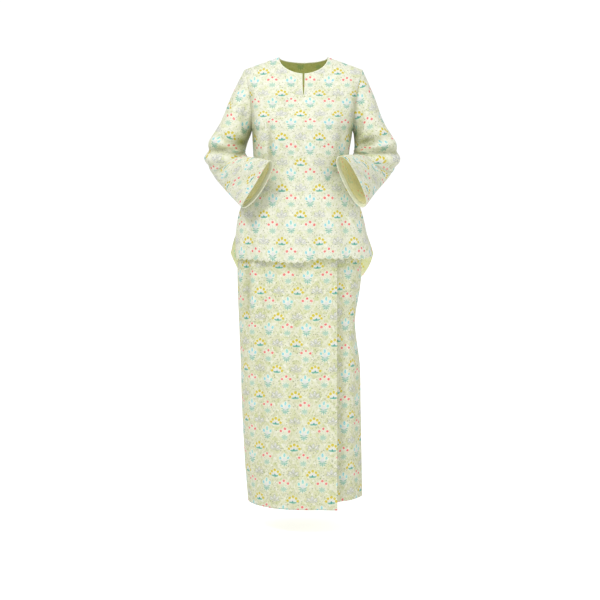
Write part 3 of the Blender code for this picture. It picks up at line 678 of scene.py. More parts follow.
front_angle = panel_angles(PANEL_HALF_COLUMNS)
front_share = eased(FRONT_ROWS)
front_share[0] = TOP_ROW_SHARE
angle_grid = np.broadcast_to(front_angle, (len(front_share), len(front_angle)))
hem_x = level(BLOUSE, LEFT, np.full_like(front_angle, HEM_LEVEL_Z)) * np.sin(front_angle)
hem_z = np.interp(hem_x, HEM_X, HEM_Z)
high = top_edge(front_angle, FRONT)
z_grid = high + (hem_z - high) * front_share[:, None]
opened = smooth((SIDE_SLIT_TOP_Z - z_grid) / SIDE_SLIT_OPENS_OVER)
swing = np.where(angle_grid > 0.0, SWING_RIGHT, SWING_LEFT)
angle_grid = angle_grid * (1.0 - opened * swing / (0.5 * math.pi))
front = body_points(angle_grid, z_grid, FRONT)
ruler = front[..., [0, 2]]
FRONT_CREASES = [
    # start, end, width, depth
    ((-0.104, -0.215), (-0.099, -0.345), 0.011, -0.0050),
    ((-0.084, -0.235), (-0.082, -0.350), 0.013, 0.0035),
    ((-0.128, -0.180), (-0.118, -0.330), 0.014, 0.0040),
    ((-0.140, -0.165), (-0.060, -0.130), 0.016, -0.0022),
    ((0.118, -0.190), (0.108, -0.335), 0.013, -0.0036),
    ((0.095, -0.225), (0.090, -0.330), 0.016, 0.0024),
    ((0.140, -0.150), (0.065, -0.118), 0.016, -0.0020),
    ((-0.150, -0.330), (-0.060, -0.392), 0.014, -0.0032),
    ((-0.150, -0.365), (-0.070, -0.440), 0.016, 0.0026),
    ((0.145, -0.330), (0.070, -0.385), 0.014, -0.0028),
    ((0.140, -0.372), (0.085, -0.430), 0.016, 0.0022),
    ((-0.020, -0.075), (-0.060, -0.165), 0.022, -0.0016),
    ((0.022, -0.075), (0.066, -0.160), 0.022, -0.0014),
    ((-0.150, -0.440), (-0.160, -0.640), 0.016, -0.0021),
    ((-0.112, -0.460), (-0.118, -0.640), 0.018, 0.0020),
    ((-0.070, -0.480), (-0.066, -0.640), 0.017, -0.0018),
    ((-0.022, -0.440), (-0.018, -0.640), 0.019, 0.0013),
    ((0.030, -0.470), (0.036, -0.640), 0.018, -0.0017),
    ((0.078, -0.450), (0.088, -0.640), 0.018, 0.0018),
    ((0.118, -0.470), (0.134, -0.640), 0.015, -0.0026),
    ((0.150, -0.460), (0.172, -0.640), 0.015, 0.0023),
    ((-0.185, -0.480), (-0.196, -0.640), 0.014, 0.0017),
]
# Folds die away at the side seams, and come back where the seams end above the hem
SEAM_CALM, SEAM_END_CALM = 0.35, 0.05
seam_hold = smooth((math.pi / 2.0 - np.abs(np.broadcast_to(front_angle, z_grid.shape))) / SEAM_CALM)
seam_hold = np.maximum(seam_hold, smooth((SIDE_SLIT_TOP_Z - z_grid) / SEAM_END_CALM))
seam_hold = seam_hold * smooth((-0.05 - z_grid) / 0.04)
body_axis = on_axis(z_grid)
# The folds, with painted shade in their troughs
front, front_shade = creased(front, body_axis, ruler, FRONT_CREASES, seam_hold)
# Painted shade under the arms, beside the armholes and lower on the sides
front_shade += shaded(ruler, [
    ((-0.157, -0.245), (0.016, 0.045), 0.75), ((0.150, -0.240), (0.016, 0.045), 0.75),
    ((-0.103, -0.290), (0.007, 0.050), 0.30), ((-0.158, -0.150), (0.010, 0.060), 0.30),
    ((0.155, -0.150), (0.010, 0.060), 0.30), ((-0.150, -0.345), (0.016, 0.035), 0.30),
    ((0.140, -0.345), (0.016, 0.035), 0.30),
])
hem_run = np.concatenate([[0.0], np.cumsum(np.linalg.norm(np.diff(front[-1], axis=0), axis=-1))])
SCALLOP_REACH_UP = 0.030
near_hem = smooth(1.0 - (front[..., 2] - front[-1:, :, 2]) / SCALLOP_REACH_UP)
front[..., 2] += SCALLOP_DEPTH * 0.5 * near_hem - scallops(hem_run) * near_hem
SLIT_BLUNTNESS, SLIT_PULLS_OVER = 0.35, 0.03
slit_share = np.clip((front[..., 2] - SLIT_BOTTOM_Z) / SLIT_OPENS_OVER, 0.0, 1.0) ** SLIT_BLUNTNESS
slit_pull = np.clip(1.0 - np.abs(front[..., 0]) / SLIT_PULLS_OVER, 0.0, 1.0) ** 2
slit_push = SLIT_HALF_WIDTH * slit_share * slit_pull
front[..., 0] += np.sign(front[..., 0]) * slit_push
middle = len(front_angle) // 2
slit_gap = np.zeros((front.shape[0] - 1, front.shape[1] - 1), bool)
slit_gap[:, middle - 1] = front[1:, middle, 2] > SLIT_BOTTOM_Z


def girth_to(angle, z, side, flare=None, steps=24):
    """Length round the body at one height, from the centre line to an angle."""
    walk = [body_points(angle * k / steps, z, side, flare) for k in range(steps + 1)]
    return np.sign(angle) * sum(np.linalg.norm(b - a, axis=-1) for a, b in zip(walk, walk[1:]))


def print_map(girth, z, shift=0.0):
    """Cloth coordinates with the print's rows at the heights they have on the body."""
    v = np.interp(-z, [-row for row in PRINT_ROWS_Z], PRINT_ROWS_V) * SPRIG_ROW
    return np.stack([girth * PRINT_SCALE_X - CORAL_AT_X + shift, v], -1)


front_uv = print_map(girth_to(angle_grid, z_grid, FRONT), z_grid)
front_normals = grid_normals(front, body_axis)
FLAP = 0.005
NECK_FLAP, FREE_FLAP = 0.0008, 0.0009


def with_turned_edges(points, uv, shade, centre, missing=None):
    """The panel with its seam edges turned in: sides and shoulders, hardly at the neck."""
    normals = grid_normals(points, centre)
    free = smooth((SIDE_SLIT_TOP_Z - points[:, 0, 2]) / 0.02)
    depth = FLAP * (1.0 - free) + FREE_FLAP * free
    wide = points
    for side in (("column", "first"), ("column", "last")):
        wide = turned_edge(wide, normals, side, depth)
        uv, shade, centre = (padded_like(a, side) for a in (uv, shade, centre))
    normals = np.concatenate([normals[:, :1], normals, normals[:, -1:]], 1)
    shouldered = smooth((np.abs(wide[0, :, 0]) - NECK_HALF_WIDTH) / 0.006)
    depth = NECK_FLAP + (FLAP - NECK_FLAP) * shouldered
    wide = turned_edge(wide, normals, ("row", "first"), depth)
    uv, shade, centre = (padded_like(a, ("row", "first")) for a in (uv, shade, centre))
    if missing is not None:
        missing = np.pad(missing, ((1, 0), (1, 1)))
        missing[0] = missing[1]
    return wide, uv, shade, centre, missing


def belongs(made, node):
    """The piece rides the garment's one body, shown in place of a node."""
    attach(made, "root")
    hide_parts(node)


parts = with_turned_edges(front, front_uv, front_shade, body_axis, slit_gap)
blouse_front = cloth_shell(
    "blouse_front_panel", *parts[:4], [BLOUSE_COTTON, BLOUSE_WRONG_SIDE], missing=parts[4]
)
belongs(blouse_front, "blouse_front")


# ------------------------------------------------------------------ blouse back
# The back panel, the same cotton, cut longer than the front with a plain turned
# hem: it is joined at the shoulders and sides and hangs free below the hips.

BACK_FLARE = np.array([
    (-0.545, 0.000, 0.000), (-0.575, 0.008, 0.002), (-0.606, 0.016, 0.005), (-0.730, 0.026, 0.010),
])
BACK_CREASES = [
    ((-0.105, -0.210), (-0.090, -0.345), 0.013, -0.0042),
    ((0.102, -0.205), (0.092, -0.340), 0.013, -0.0045),
    ((-0.140, -0.150), (-0.060, -0.120), 0.018, -0.0022),
    ((0.138, -0.155), (0.062, -0.118), 0.018, -0.0024),
    ((-0.128, -0.335), (-0.040, -0.395), 0.015, -0.0030),
    ((0.125, -0.330), (0.050, -0.400), 0.015, -0.0032),
    ((-0.140, -0.450), (-0.165, -0.720), 0.019, -0.0042),
    ((-0.095, -0.430), (-0.105, -0.720), 0.020, 0.0035),
    ((-0.048, -0.450), (-0.052, -0.720), 0.019, -0.0039),
    ((0.002, -0.420), (0.006, -0.720), 0.020, 0.0032),
    ((0.055, -0.440), (0.062, -0.720), 0.019, -0.0043),
    ((0.102, -0.430), (0.116, -0.720), 0.020, 0.0036),
    ((0.145, -0.460), (0.168, -0.720), 0.018, -0.0035),
]
BACK_ROWS = 150
# The back hem dips between its high corners
BACK_CORNER_Z, BACK_DIP, BACK_DIP_BEND = -0.606, 0.114, 5.5
BACK_PRINT_SHIFT = 0.0294

back_share = eased(BACK_ROWS)
back_share[0] = TOP_ROW_SHARE
angle_grid = np.broadcast_to(front_angle, (len(back_share), len(front_angle)))
high = top_edge(front_angle, BACK)
low = BACK_CORNER_Z - BACK_DIP * (1.0 - np.abs(np.sin(front_angle)) ** BACK_DIP_BEND)
z_grid = high + (low - high) * back_share[:, None]
back = body_points(angle_grid, z_grid, BACK, BACK_FLARE)
seam_hold = smooth((math.pi / 2.0 - np.abs(angle_grid)) / SEAM_CALM) * smooth((-0.03 - z_grid) / 0.05)
seam_hold = np.maximum(seam_hold, 0.6 * smooth((SIDE_SLIT_TOP_Z - z_grid) / SEAM_END_CALM))
body_axis = on_axis(z_grid)
# The folds, with painted shade in their troughs, and painted shade under the arms
back, back_shade = creased(back, body_axis, back[..., [0, 2]], BACK_CREASES, seam_hold)
back_shade += shaded(back[..., [0, 2]], [
    ((-0.155, -0.245), (0.016, 0.045), 0.6), ((0.150, -0.240), (0.016, 0.045), 0.6),
])
back_uv = print_map(girth_to(angle_grid, z_grid, BACK, BACK_FLARE), z_grid, BACK_PRINT_SHIFT)
back_normals = grid_normals(back, body_axis)
parts = with_turned_edges(back, back_uv, back_shade, body_axis)
# Painted shade on the inside, which lies in the dark of the body, but not where it shows below the front
# hem
INNER_BODY_SHADE, INNER_BODY_SHADE_FROM_Z, INNER_BODY_SHADE_OVER = 0.85, -0.52, 0.16
inner_body_shade = INNER_BODY_SHADE * smooth((parts[0][..., 2] - INNER_BODY_SHADE_FROM_Z) / INNER_BODY_SHADE_OVER)
blouse_back = cloth_shell(
    "blouse_back_panel", *parts[:4], [BLOUSE_COTTON, BLOUSE_WRONG_SIDE], inner_shade=inner_body_shade
)
belongs(blouse_back, "blouse_back")


# ------------------------------------------------------------------ sleeves
# Two set-in sleeves, each one piece of the printed cotton sewn into a tube: easy
# over the upper arm, creased at the bent elbow, opening to a bell at the wrist.

# Sections: the under-arm point, the over-arm point, half the thickness, and the belly
SLEEVE_RIGHT = np.array([
    (0.1520, 0.000, -0.226, 0.1830, 0.000, -0.039, 0.055, 0.0),
    (0.1565, 0.000, -0.238, 0.2160, 0.003, -0.112, 0.055, 0.0),
    (0.1585, 0.000, -0.254, 0.2460, 0.006, -0.193, 0.054, 0.0),
    (0.1600, -0.005, -0.277, 0.2790, 0.014, -0.252, 0.053, 0.0),
    (0.1605, -0.012, -0.293, 0.2965, 0.031, -0.308, 0.052, 0.0),
    (0.1610, -0.024, -0.302, 0.2670, 0.051, -0.358, 0.047, 0.0),
    (0.1600, -0.046, -0.305, 0.2400, 0.034, -0.396, 0.039, 0.0),
    (0.1420, -0.104, -0.306, 0.2160, -0.036, -0.421, 0.031, 0.0),
    (0.1230, -0.148, -0.308, 0.1985, -0.090, -0.442, 0.027, 0.0),
    (0.1040, -0.190, -0.313, 0.1810, -0.140, -0.463, 0.025, 0.0),
])
SLEEVE_LEFT = np.array([
    (-0.1590, 0.000, -0.226, -0.1830, 0.000, -0.039, 0.055, 0.0),
    (-0.1640, 0.000, -0.238, -0.2200, 0.003, -0.112, 0.055, 0.0),
    (-0.1710, 0.000, -0.254, -0.2520, 0.006, -0.190, 0.054, 0.0),
    (-0.1800, -0.005, -0.278, -0.2850, 0.014, -0.250, 0.052, 0.0),
    (-0.1860, -0.012, -0.295, -0.3010, 0.031, -0.308, 0.050, 0.0),
    (-0.1860, -0.024, -0.304, -0.2740, 0.051, -0.357, 0.046, 0.0),
    (-0.1790, -0.048, -0.309, -0.2480, 0.034, -0.397, 0.039, 0.0),
    (-0.1520, -0.106, -0.313, -0.2250, -0.036, -0.424, 0.029, 0.004),
    (-0.1240, -0.150, -0.319, -0.2040, -0.090, -0.445, 0.022, 0.008),
    (-0.0960, -0.190, -0.326, -0.1836, -0.140, -0.465, 0.017, 0.011),
])
TURN_SCALE, SECTION_SCALE = 0.052, 0.050
# Folds on a sleeve: start and end as (turn, section), width and depth
RIGHT_CREASES = [
    ((0.15, 3.60), (1.7, 3.72), 0.0080, -0.0085), ((1.5, 3.70), (2.7, 4.10), 0.0110, -0.0070),
    ((0.2, 3.12), (1.9, 3.25), 0.0110, 0.0042), ((0.3, 4.02), (2.1, 4.15), 0.0100, 0.0046),
    ((0.1, 4.45), (1.2, 4.40), 0.0070, -0.0032), ((1.0, 2.80), (2.5, 3.30), 0.0100, -0.0038),
    ((0.9, 2.30), (2.3, 2.65), 0.0120, 0.0030), ((0.5, 4.85), (1.6, 5.30), 0.0090, -0.0026),
    ((0.6, 6.1), (1.8, 8.4), 0.012, -0.0022), ((1.4, 6.3), (2.4, 8.6), 0.013, 0.0020),
    ((-0.3, 3.65), (-1.9, 3.9), 0.009, -0.0066), ((-1.8, 3.85), (-2.6, 4.1), 0.011, -0.0056),
    ((-0.5, 3.2), (-1.8, 3.3), 0.012, 0.0040), ((-0.8, 4.2), (-2.0, 4.4), 0.012, 0.0036),
    ((1.6, 0.6), (2.5, 1.9), 0.013, -0.0040), ((-1.5, 0.6), (-2.5, 1.9), 0.013, -0.0040),
    ((0.5, 0.5), (0.8, 2.6), 0.016, -0.0018), ((-0.7, 1.2), (-1.0, 3.0), 0.016, 0.0024),
    ((-1.2, 6.2), (-1.8, 8.5), 0.013, -0.0026),
]
LEFT_CREASES = [
    ((0.10, 3.55), (1.5, 3.62), 0.0075, -0.0088), ((1.4, 3.60), (2.7, 4.05), 0.0110, -0.0066),
    ((0.2, 3.08), (1.8, 3.20), 0.0110, 0.0044), ((0.3, 3.98), (2.0, 4.10), 0.0100, 0.0046),
    ((0.9, 3.30), (1.9, 3.10), 0.0070, -0.0030), ((0.1, 4.35), (1.1, 4.30), 0.0070, -0.0034),
    ((1.0, 2.70), (2.5, 3.20), 0.0100, -0.0036), ((0.9, 2.20), (2.3, 2.60), 0.0120, 0.0030),
    ((0.7, 6.2), (2.0, 8.5), 0.012, -0.0022), ((1.5, 6.0), (2.5, 8.3), 0.013, 0.0020),
    ((-0.3, 3.6), (-1.9, 3.85), 0.009, -0.0068), ((-1.8, 3.8), (-2.6, 4.05), 0.011, -0.0056),
    ((-0.5, 3.15), (-1.8, 3.3), 0.012, 0.0040), ((-0.8, 4.2), (-2.1, 4.4), 0.012, 0.0036),
    ((1.6, 0.6), (2.5, 1.9), 0.013, -0.0042), ((-1.5, 0.6), (-2.5, 1.9), 0.013, -0.0042),
    ((0.5, 0.4), (0.9, 2.5), 0.016, -0.0018), ((-0.8, 1.2), (-1.0, 2.9), 0.016, 0.0024),
    ((-1.3, 6.2), (-1.9, 8.6), 0.013, -0.0028),
]
# Painted shade in a sleeve's hollows, at the armpits and elbows: place and reach as (turn, section), and
# strength
RIGHT_SHADE_SPOTS = [
    ((2.1, 2.6), (0.60, 0.36), 0.80), ((1.7, 3.4), (0.9, 0.16), 0.50),
    ((2.7, 1.3), (0.6, 0.9), 0.60), ((-2.7, 1.3), (0.6, 0.9), 0.50),
    ((-2.3, 3.5), (0.8, 0.4), 0.55), ((2.9, 3.9), (0.5, 0.5), 0.55),
]
LEFT_SHADE_SPOTS = [
    ((2.4, 2.6), (0.60, 0.50), 0.85), ((1.7, 3.35), (0.9, 0.18), 0.60),
    ((2.7, 1.3), (0.6, 0.9), 0.60), ((-2.7, 1.3), (0.6, 0.9), 0.50),
    ((-2.3, 3.5), (0.8, 0.4), 0.55), ((2.9, 3.9), (0.5, 0.5), 0.50),
]


ARMHOLE_EASE = 0.0003
SLEEVE_SQUARE = 0.07
# The sleeve's head takes the armhole's shape over this many sections
HEAD_SECTIONS = 1.6


def sleeve_row(table, t):
    """A sleeve's section at number t, read smoothly from its table."""
    start = np.clip(np.floor(t).astype(int), 0, len(table) - 2)
    picks = [table[np.clip(start + k, 0, len(table) - 1)] for k in (-1, 0, 1, 2)]
    return spline(*picks, (t - start)[..., None])


def armhole_points(turn, hand):
    """The armhole's edge: turn 0 at the shoulder tip, half a turn under the arm."""
    middle = (SHOULDER_TIP_Z + UNDERARM_Z) / 2.0
    z = middle + (SHOULDER_TIP_Z - UNDERARM_Z) / 2.0 * np.cos(turn)
    x = level(BLOUSE, RIGHT if hand > 0 else LEFT, z) + ARMHOLE_EASE
    y = armhole_depth(z) * shoulder_rise(z, SHOULDER_TIP_Z)
    return np.stack([hand * x, -np.copysign(y, np.sin(turn)), z], -1)


def sleeve_tube(table, hand, turn, t):
    here, before, after = (sleeve_row(table, t + k) for k in (0.0, -0.1, 0.1))
    near, far, half, belly = here[..., :3], here[..., 3:6], here[..., 6], here[..., 7]
    along = (after - before)[..., :3] + (after - before)[..., 3:6]
    over = (far - near) / 2.0
    across = np.cross(along, over) * hand
    across /= np.linalg.norm(across, axis=-1, keepdims=True)
    square = 1.0 + SLEEVE_SQUARE * np.sin(2.0 * turn) ** 2
    thick = half * np.sin(turn) * square - belly * np.sin(turn) ** 2
    wide = np.cos(turn) * square
    return (near + far) / 2.0 + over * wide[..., None] + across * thick[..., None]


def sleeve_points(table, hand, turn, t):
    """turn is 0 over the arm and grows to the front; t is the section number."""
    fitted = armhole_points(turn, hand) - sleeve_tube(table, hand, turn, 0.0 * t)
    return sleeve_tube(table, hand, turn, t) + fitted * (1.0 - smooth(t / HEAD_SECTIONS))[..., None]


# Past the elbow the cloth is as long inside the arm as outside: the rest is bunched in creases
ELBOW_FROM, ELBOW_OVER = 2.8, 0.8
SLEEVE_AROUND, SLEEVE_ALONG = 150, 132
SEWN_UNDER = 0.0006


def ring_centres(rings):
    return rings.mean(1, keepdims=True) + 0.0 * rings


def make_sleeve(side, table, hand, creases, shade_spots, flat, area, shift):
    around, along = SLEEVE_AROUND, SLEEVE_ALONG
    turns = np.linspace(-math.pi, math.pi, around + 1)
    t = np.broadcast_to(np.linspace(0.0, len(table) - 1.0, along)[:, None], (along, around + 1))
    turn = np.broadcast_to(turns, t.shape)
    full = sleeve_points(table, hand, turn, t)
    centre = ring_centres(full[:, :-1])
    scale = np.array([TURN_SCALE, SECTION_SCALE])
    places = np.stack([turn[:, :-1], t[:, :-1]], -1)
    scaled = [(a * scale, b * scale, width, depth) for a, b, width, depth in creases]
    hold = smooth(t[:, :-1] / 0.5) * smooth((len(table) - 1.0 - t[:, :-1] + 0.25) / 0.5)
    # The folds, with painted shade in their troughs and painted shade spots in the hollows
    points, shade = creased(full[:, :-1], centre, places * scale, scaled, hold, closed=True)
    shade = shade + shaded(places, shade_spots)
    rings = np.concatenate([points, points[:, :1]], 1)
    grain = np.gradient(rings.mean(1), axis=0)
    grain = (grain / np.linalg.norm(grain, axis=-1, keepdims=True))[:, None]
    steps = np.diff(rings, axis=1)
    fall = np.sum(steps * grain, -1)
    girth = np.linalg.norm(steps - fall[..., None] * grain, axis=-1)
    middle = around // 2
    u = np.concatenate([np.zeros((along, 1)), np.cumsum(girth, 1)], 1)
    u = u - u[:, middle : middle + 1]
    cap = np.concatenate([[0.0], np.cumsum(fall[0])])
    drop = np.sum(np.diff(rings, axis=0) * grain[1:], -1)
    bunched = 0.5 * (drop[:, middle : middle + 1] + drop.mean(1, keepdims=True))
    drop = drop + (bunched - drop) * smooth((t[1:] - ELBOW_FROM) / ELBOW_OVER)
    down = np.cumsum(drop, 0)
    v = -(cap - cap[middle]) - np.concatenate([np.zeros((1, around + 1)), down])
    uv = np.stack([shift[0] - hand * u, v + shift[1]], -1)
    normals = grid_normals(points, centre, closed=True)
    flap = points[:1] - normals[:1] * FLAP
    flap[..., 0] += hand * SEWN_UNDER
    sewn = np.concatenate([flap, points])
    sewn_uv, sewn_shade, sewn_centre = (np.concatenate([a[:1], a]) for a in (uv, shade, centre))
    made = cloth_shell(
        f"sleeve_{side}_cotton", sewn, sewn_uv, sewn_shade, sewn_centre,
        [BLOUSE_COTTON, SLEEVE_WRONG_SIDE], closed=True,
    )
    belongs(made, f"sleeve_{side}")
    return made, points, normals, flat, area


right_sleeve = make_sleeve(
    "right", SLEEVE_RIGHT, 1.0, RIGHT_CREASES, RIGHT_SHADE_SPOTS, (0.40, 0.53), 0.156, (0.025, 0.0795)
)
left_sleeve = make_sleeve(
    "left", SLEEVE_LEFT, -1.0, LEFT_CREASES, LEFT_SHADE_SPOTS, (0.38, 0.53), 0.142, (-0.003, 0.0787)
)


# ------------------------------------------------------------------ trim
# Plain off-white cotton: a turned hem inside each cuff, and a narrow binding
# folded over the raw edge of the neck and of the slit below it.


TRIM_THREAD = 0.0005


def plain_cotton(name, colour, low_colour):
    made, pen, shader = new_material(name)
    cloth_map = pen.node("UVMap", uv_map="cloth")
    height, tone = woven_on(pen, cloth_map, TRIM_THREAD)
    cloudy = pen.node("TexNoise", {"Vector": cloth_map, "Scale": 90.0, "Detail": 3.0})
    shown = pen.over(dye(colour), dye(low_colour), pen.band(cloudy, 0.35, 0.7))
    shown = pen.times(shown, tone)
    bump = pen.node("Bump", {"Height": height, "Distance": 0.00015, "Strength": 0.6})
    rough = pen.band(cloudy, 0.3, 0.7, 0.78, 0.88)
    pen.wire(shader, {"Base Color": shown, "Normal": bump, "Roughness": rough})
    shader.inputs["Specular IOR Level"].default_value = COTTON_SPECULAR
    return made


TRIM_COTTON = plain_cotton("trim_cotton", "ECEEDC", "E2E6CC")
CUFF_HEM_WIDTH = 0.017
CUFF_HEM_GAP, CUFF_HEM_WALL = 0.0003, 0.0008
CUFF_HEM_LEAST_ROWS = 3


def make_cuff_hem(side, sleeve):
    """A ring of plain cotton on the cuff's inner face, along its last few rows."""
    _, points, normals, _, _ = sleeve
    steps = np.linalg.norm(points[-1] - points[-2], axis=-1).mean()
    rows = max(CUFF_HEM_LEAST_ROWS, round(CUFF_HEM_WIDTH / steps))
    inner = points[-rows:] - normals[-rows:] * (CLOTH_WALL + CUFF_HEM_GAP)
    inner[-1] = inner[-1] * 0.9 + inner[-2] * 0.1
    rings = np.concatenate([inner, inner[:, :1]], 1)
    u = cloth_lengths(rings, 0)
    v = -steps * np.arange(rows)[:, None] + 0.0 * u
    made = cloth_shell(
        f"cuff_hem_{side}_band", inner, np.stack([u, v], -1), np.zeros(inner.shape[:2]),
        ring_centres(inner), [TRIM_COTTON, TRIM_COTTON], closed=True, wall=CUFF_HEM_WALL,
    )
    belongs(made, f"cuff_hem_{side}")
    return made


cuff_hem_right = make_cuff_hem("right", right_sleeve)
cuff_hem_left = make_cuff_hem("left", left_sleeve)


def neck_stations():
    """Places round the neck and the slit, with the cloth's normal at each, in order."""
    necked = np.abs(SHOULDER_HALF_WIDTH * np.sin(front_angle)) <= NECK_HALF_WIDTH + 1e-6
    columns = np.flatnonzero(necked)
    right, left = columns[columns >= middle], columns[columns < middle]
    slit_rows = np.flatnonzero(front[:, middle, 2] > SLIT_BOTTOM_Z)[::-1][::3]
    places, outs = [], []
    for points, normals, rows, cols in (
        (front, front_normals, slit_rows, [middle]), (front, front_normals, [0], right[1:]),
        (back, back_normals, [0], columns[::-1]), (front, front_normals, [0], left[:-1]),
        (front, front_normals, slit_rows[::-1], [middle - 1]),
    ):
        for row in rows:
            for column in cols:
                places.append(points[row, column])
                outs.append(normals[row, column])
    return np.array(places), np.array(outs)


BINDING_STEP = 0.0008
BINDING_CORNERS = 10
# Half the binding's width, how much less that is at the slit, and half its thickness
BINDING_HALF, BINDING_LESS_AT_SLIT, BINDING_THICK = 0.0020, 0.0008, 0.00085
BINDING_OVERLAP = 0.9
BINDING_UV = 0.0015


def unit(vectors):
    return vectors / np.linalg.norm(vectors, axis=-1, keepdims=True)


def make_neck_binding():
    """A folded strip carried along the stations, with its outer edge lying on the cloth."""
    places, outs = neck_stations()
    keep = np.linalg.norm(places - np.roll(places, 1, 0), axis=-1) > BINDING_STEP
    places, outs = places[keep], outs[keep]
    for _ in range(2):
        outs = (np.roll(outs, 1, 0) + outs + np.roll(outs, -1, 0)) / 3.0
    outs = unit(outs)
    runs = unit(np.roll(places, -1, 0) - np.roll(places, 1, 0))
    away = unit(np.cross(runs, outs))
    bends = np.linspace(0.0, 2.0 * math.pi, BINDING_CORNERS, endpoint=False)
    at_slit = smooth((0.012 - np.abs(places[:, 0])) / 0.006) * (places[:, 1] < 0.0)
    half = BINDING_HALF - BINDING_LESS_AT_SLIT * at_slit
    outwards = half[:, None] * (BINDING_OVERLAP + np.cos(bends))
    ring = places[:, None] + away[:, None] * outwards[..., None]
    ring = ring + outs[:, None] * (BINDING_THICK * np.sin(bends) - 0.5 * CLOTH_WALL)[None, :, None]
    count, corners = len(places), len(bends)
    number = np.arange(count * corners).reshape(count, corners)
    nexts = np.roll(number, -1, 0)
    quads = np.stack([number, np.roll(number, -1, 1), np.roll(nexts, -1, 1), nexts], -1)
    quads = quads.reshape(-1, 4)
    flat = ring.reshape(-1, 3)
    a, b, d = flat[quads[:, 0]], flat[quads[:, 1]], flat[quads[:, 3]]
    middles = np.repeat(ring.mean(1), corners, 0)
    if np.sum(np.cross(b - a, d - a) * (a - middles)) < 0.0:
        quads = quads[:, ::-1]
    made = link_mesh("neck_binding_strip", flat, quads, [TRIM_COTTON], np.ones(len(quads), bool))
    run = np.cumsum(np.linalg.norm(np.roll(places, -1, 0) - places, axis=-1))
    uv = np.stack([np.repeat(run, corners), np.tile(bends * BINDING_UV, count)], -1)
    made.data.uv_layers.new(name="cloth").data.foreach_set("uv", uv[quads].reshape(-1))
    return made, places, outs, away


neck_binding, neck_places, neck_outs, neck_away = make_neck_binding()
belongs(neck_binding, "neck_binding")


# ------------------------------------------------------------------ skirt
# An ankle-length wrap of the same cotton, darker in tone: an over panel whose free
# edge hangs right of the centre, an under panel behind it, and the back panel.

# One row for each level, as on the blouse
SKIRT = np.array([
    (-0.340, 0.130, 0.130, 0.098, 0.092), (-0.376, 0.132, 0.130, 0.099, 0.093),
    (-0.450, 0.162, 0.152, 0.107, 0.101), (-0.550, 0.192, 0.174, 0.112, 0.112),
    (-0.640, 0.205, 0.181, 0.116, 0.119), (-0.700, 0.206, 0.179, 0.118, 0.120),
    (-0.820, 0.202, 0.1625, 0.122, 0.118), (-0.959, 0.197, 0.178, 0.128, 0.116),
    (-1.079, 0.194, 0.181, 0.134, 0.116), (-1.272, 0.185, 0.185, 0.145, 0.118),
    (-1.390, 0.176, 0.187, 0.151, 0.120),
])
SKIRT_TOP_Z = -0.376
OVER_HEM_Z, UNDER_HEM_Z, BACK_SKIRT_HEM_Z = -1.384, -1.370, -1.376
WRAP_EDGE_X = 0.1034
SKIRT_CORAL_AT = (-0.0459, -0.6761)
SKIRT_GRAIN = 0.024
SKIRT_ROWS = 170
SKIRT_FREE_FLAP = 0.0012
# A painted shadow of the blouse's hem: the cloth is a little darker above this height, close under that
# hem
HEM_SHADE, HEM_SHADE_FROM_Z, HEM_SHADE_OVER = 0.08, -0.674, 0.030
SKIRT_COTTON = cotton("skirt_cotton", "D9DAB8", "CCD29A", "8C946A")
# The skirt's wrong side: faded print tinted olive, partly as painted shade, and a painted glow for light
# through the cloth
SKIRT_WRONG_SIDE = cotton("skirt_wrong_side", "D6D7B6", "CACE9A", "98A074", "C2BC78", 0.5, 0.12)


def skirt_points(angle, z, side, less=0.0):
    half = np.where(angle > 0.0, level(SKIRT, RIGHT, z), level(SKIRT, LEFT, z))
    y = (level(SKIRT, side, z) - less) * np.cos(angle)
    return np.stack([half * np.sin(angle), -y if side == FRONT else y, z], -1)


def skirt_map(points, column, shift=(0.0, 0.0)):
    u = cloth_lengths(points, column) + points[:, column : column + 1, 0]
    z = points[..., 2]
    u = u - SKIRT_CORAL_AT[0] + SKIRT_GRAIN * (SKIRT_CORAL_AT[1] - z)
    return np.stack([u + shift[0], z - SKIRT_CORAL_AT[1] + shift[1]], -1)


def skirt_hold(angle, z, calm_to_z=-0.42, over=0.2):
    """Folds die away at the side seams and up towards the waist."""
    return smooth((0.5 * math.pi - np.abs(angle)) / 0.3) * smooth((calm_to_z - z) / over)


def hang_skirt(name, node, points, creases, hold, column, shift, flat, area, seams):
    """A skirt panel: its folds put in, its edges turned in, deeper where they are seams."""
    centre = on_axis(points[..., 2])
    # The folds, with painted shade in their troughs, and the painted shadow of the blouse's hem
    points, shade = creased(points, centre, points[..., [0, 2]], creases, hold)
    shade = shade + HEM_SHADE * smooth((points[..., 2] - HEM_SHADE_FROM_Z) / HEM_SHADE_OVER)
    normals = grid_normals(points, centre)
    wide, uv = points, skirt_map(points, column, shift)
    for side in (("column", "first"), ("column", "last")):
        depth = np.full(len(points), FLAP if side[1] in seams else SKIRT_FREE_FLAP)
        wide = turned_edge(wide, normals, side, depth)
        uv, shade, centre = (padded_like(a, side) for a in (uv, shade, centre))
    made = cloth_shell(name, wide, uv, shade, centre, [SKIRT_COTTON, SKIRT_WRONG_SIDE])
    belongs(made, node)
    return made, points, normals, flat, area


def rows_down(top, hem):
    return np.linspace(top, hem, SKIRT_ROWS)[:, None]


z = rows_down(SKIRT_TOP_Z, OVER_HEM_Z)
edge = np.arcsin(WRAP_EDGE_X / level(SKIRT, RIGHT, z))
OVER_LEFT_COLUMNS, OVER_RIGHT_COLUMNS = 120, 62
u = np.concatenate([
    np.linspace(-1.0, 0.0, OVER_LEFT_COLUMNS), np.linspace(0.0, 1.0, OVER_RIGHT_COLUMNS)[1:]
])[None, :]
angle = np.where(u > 0.0, u * edge, u * 0.5 * math.pi)
z = z + 0.0 * angle
over = skirt_points(angle, z, FRONT)
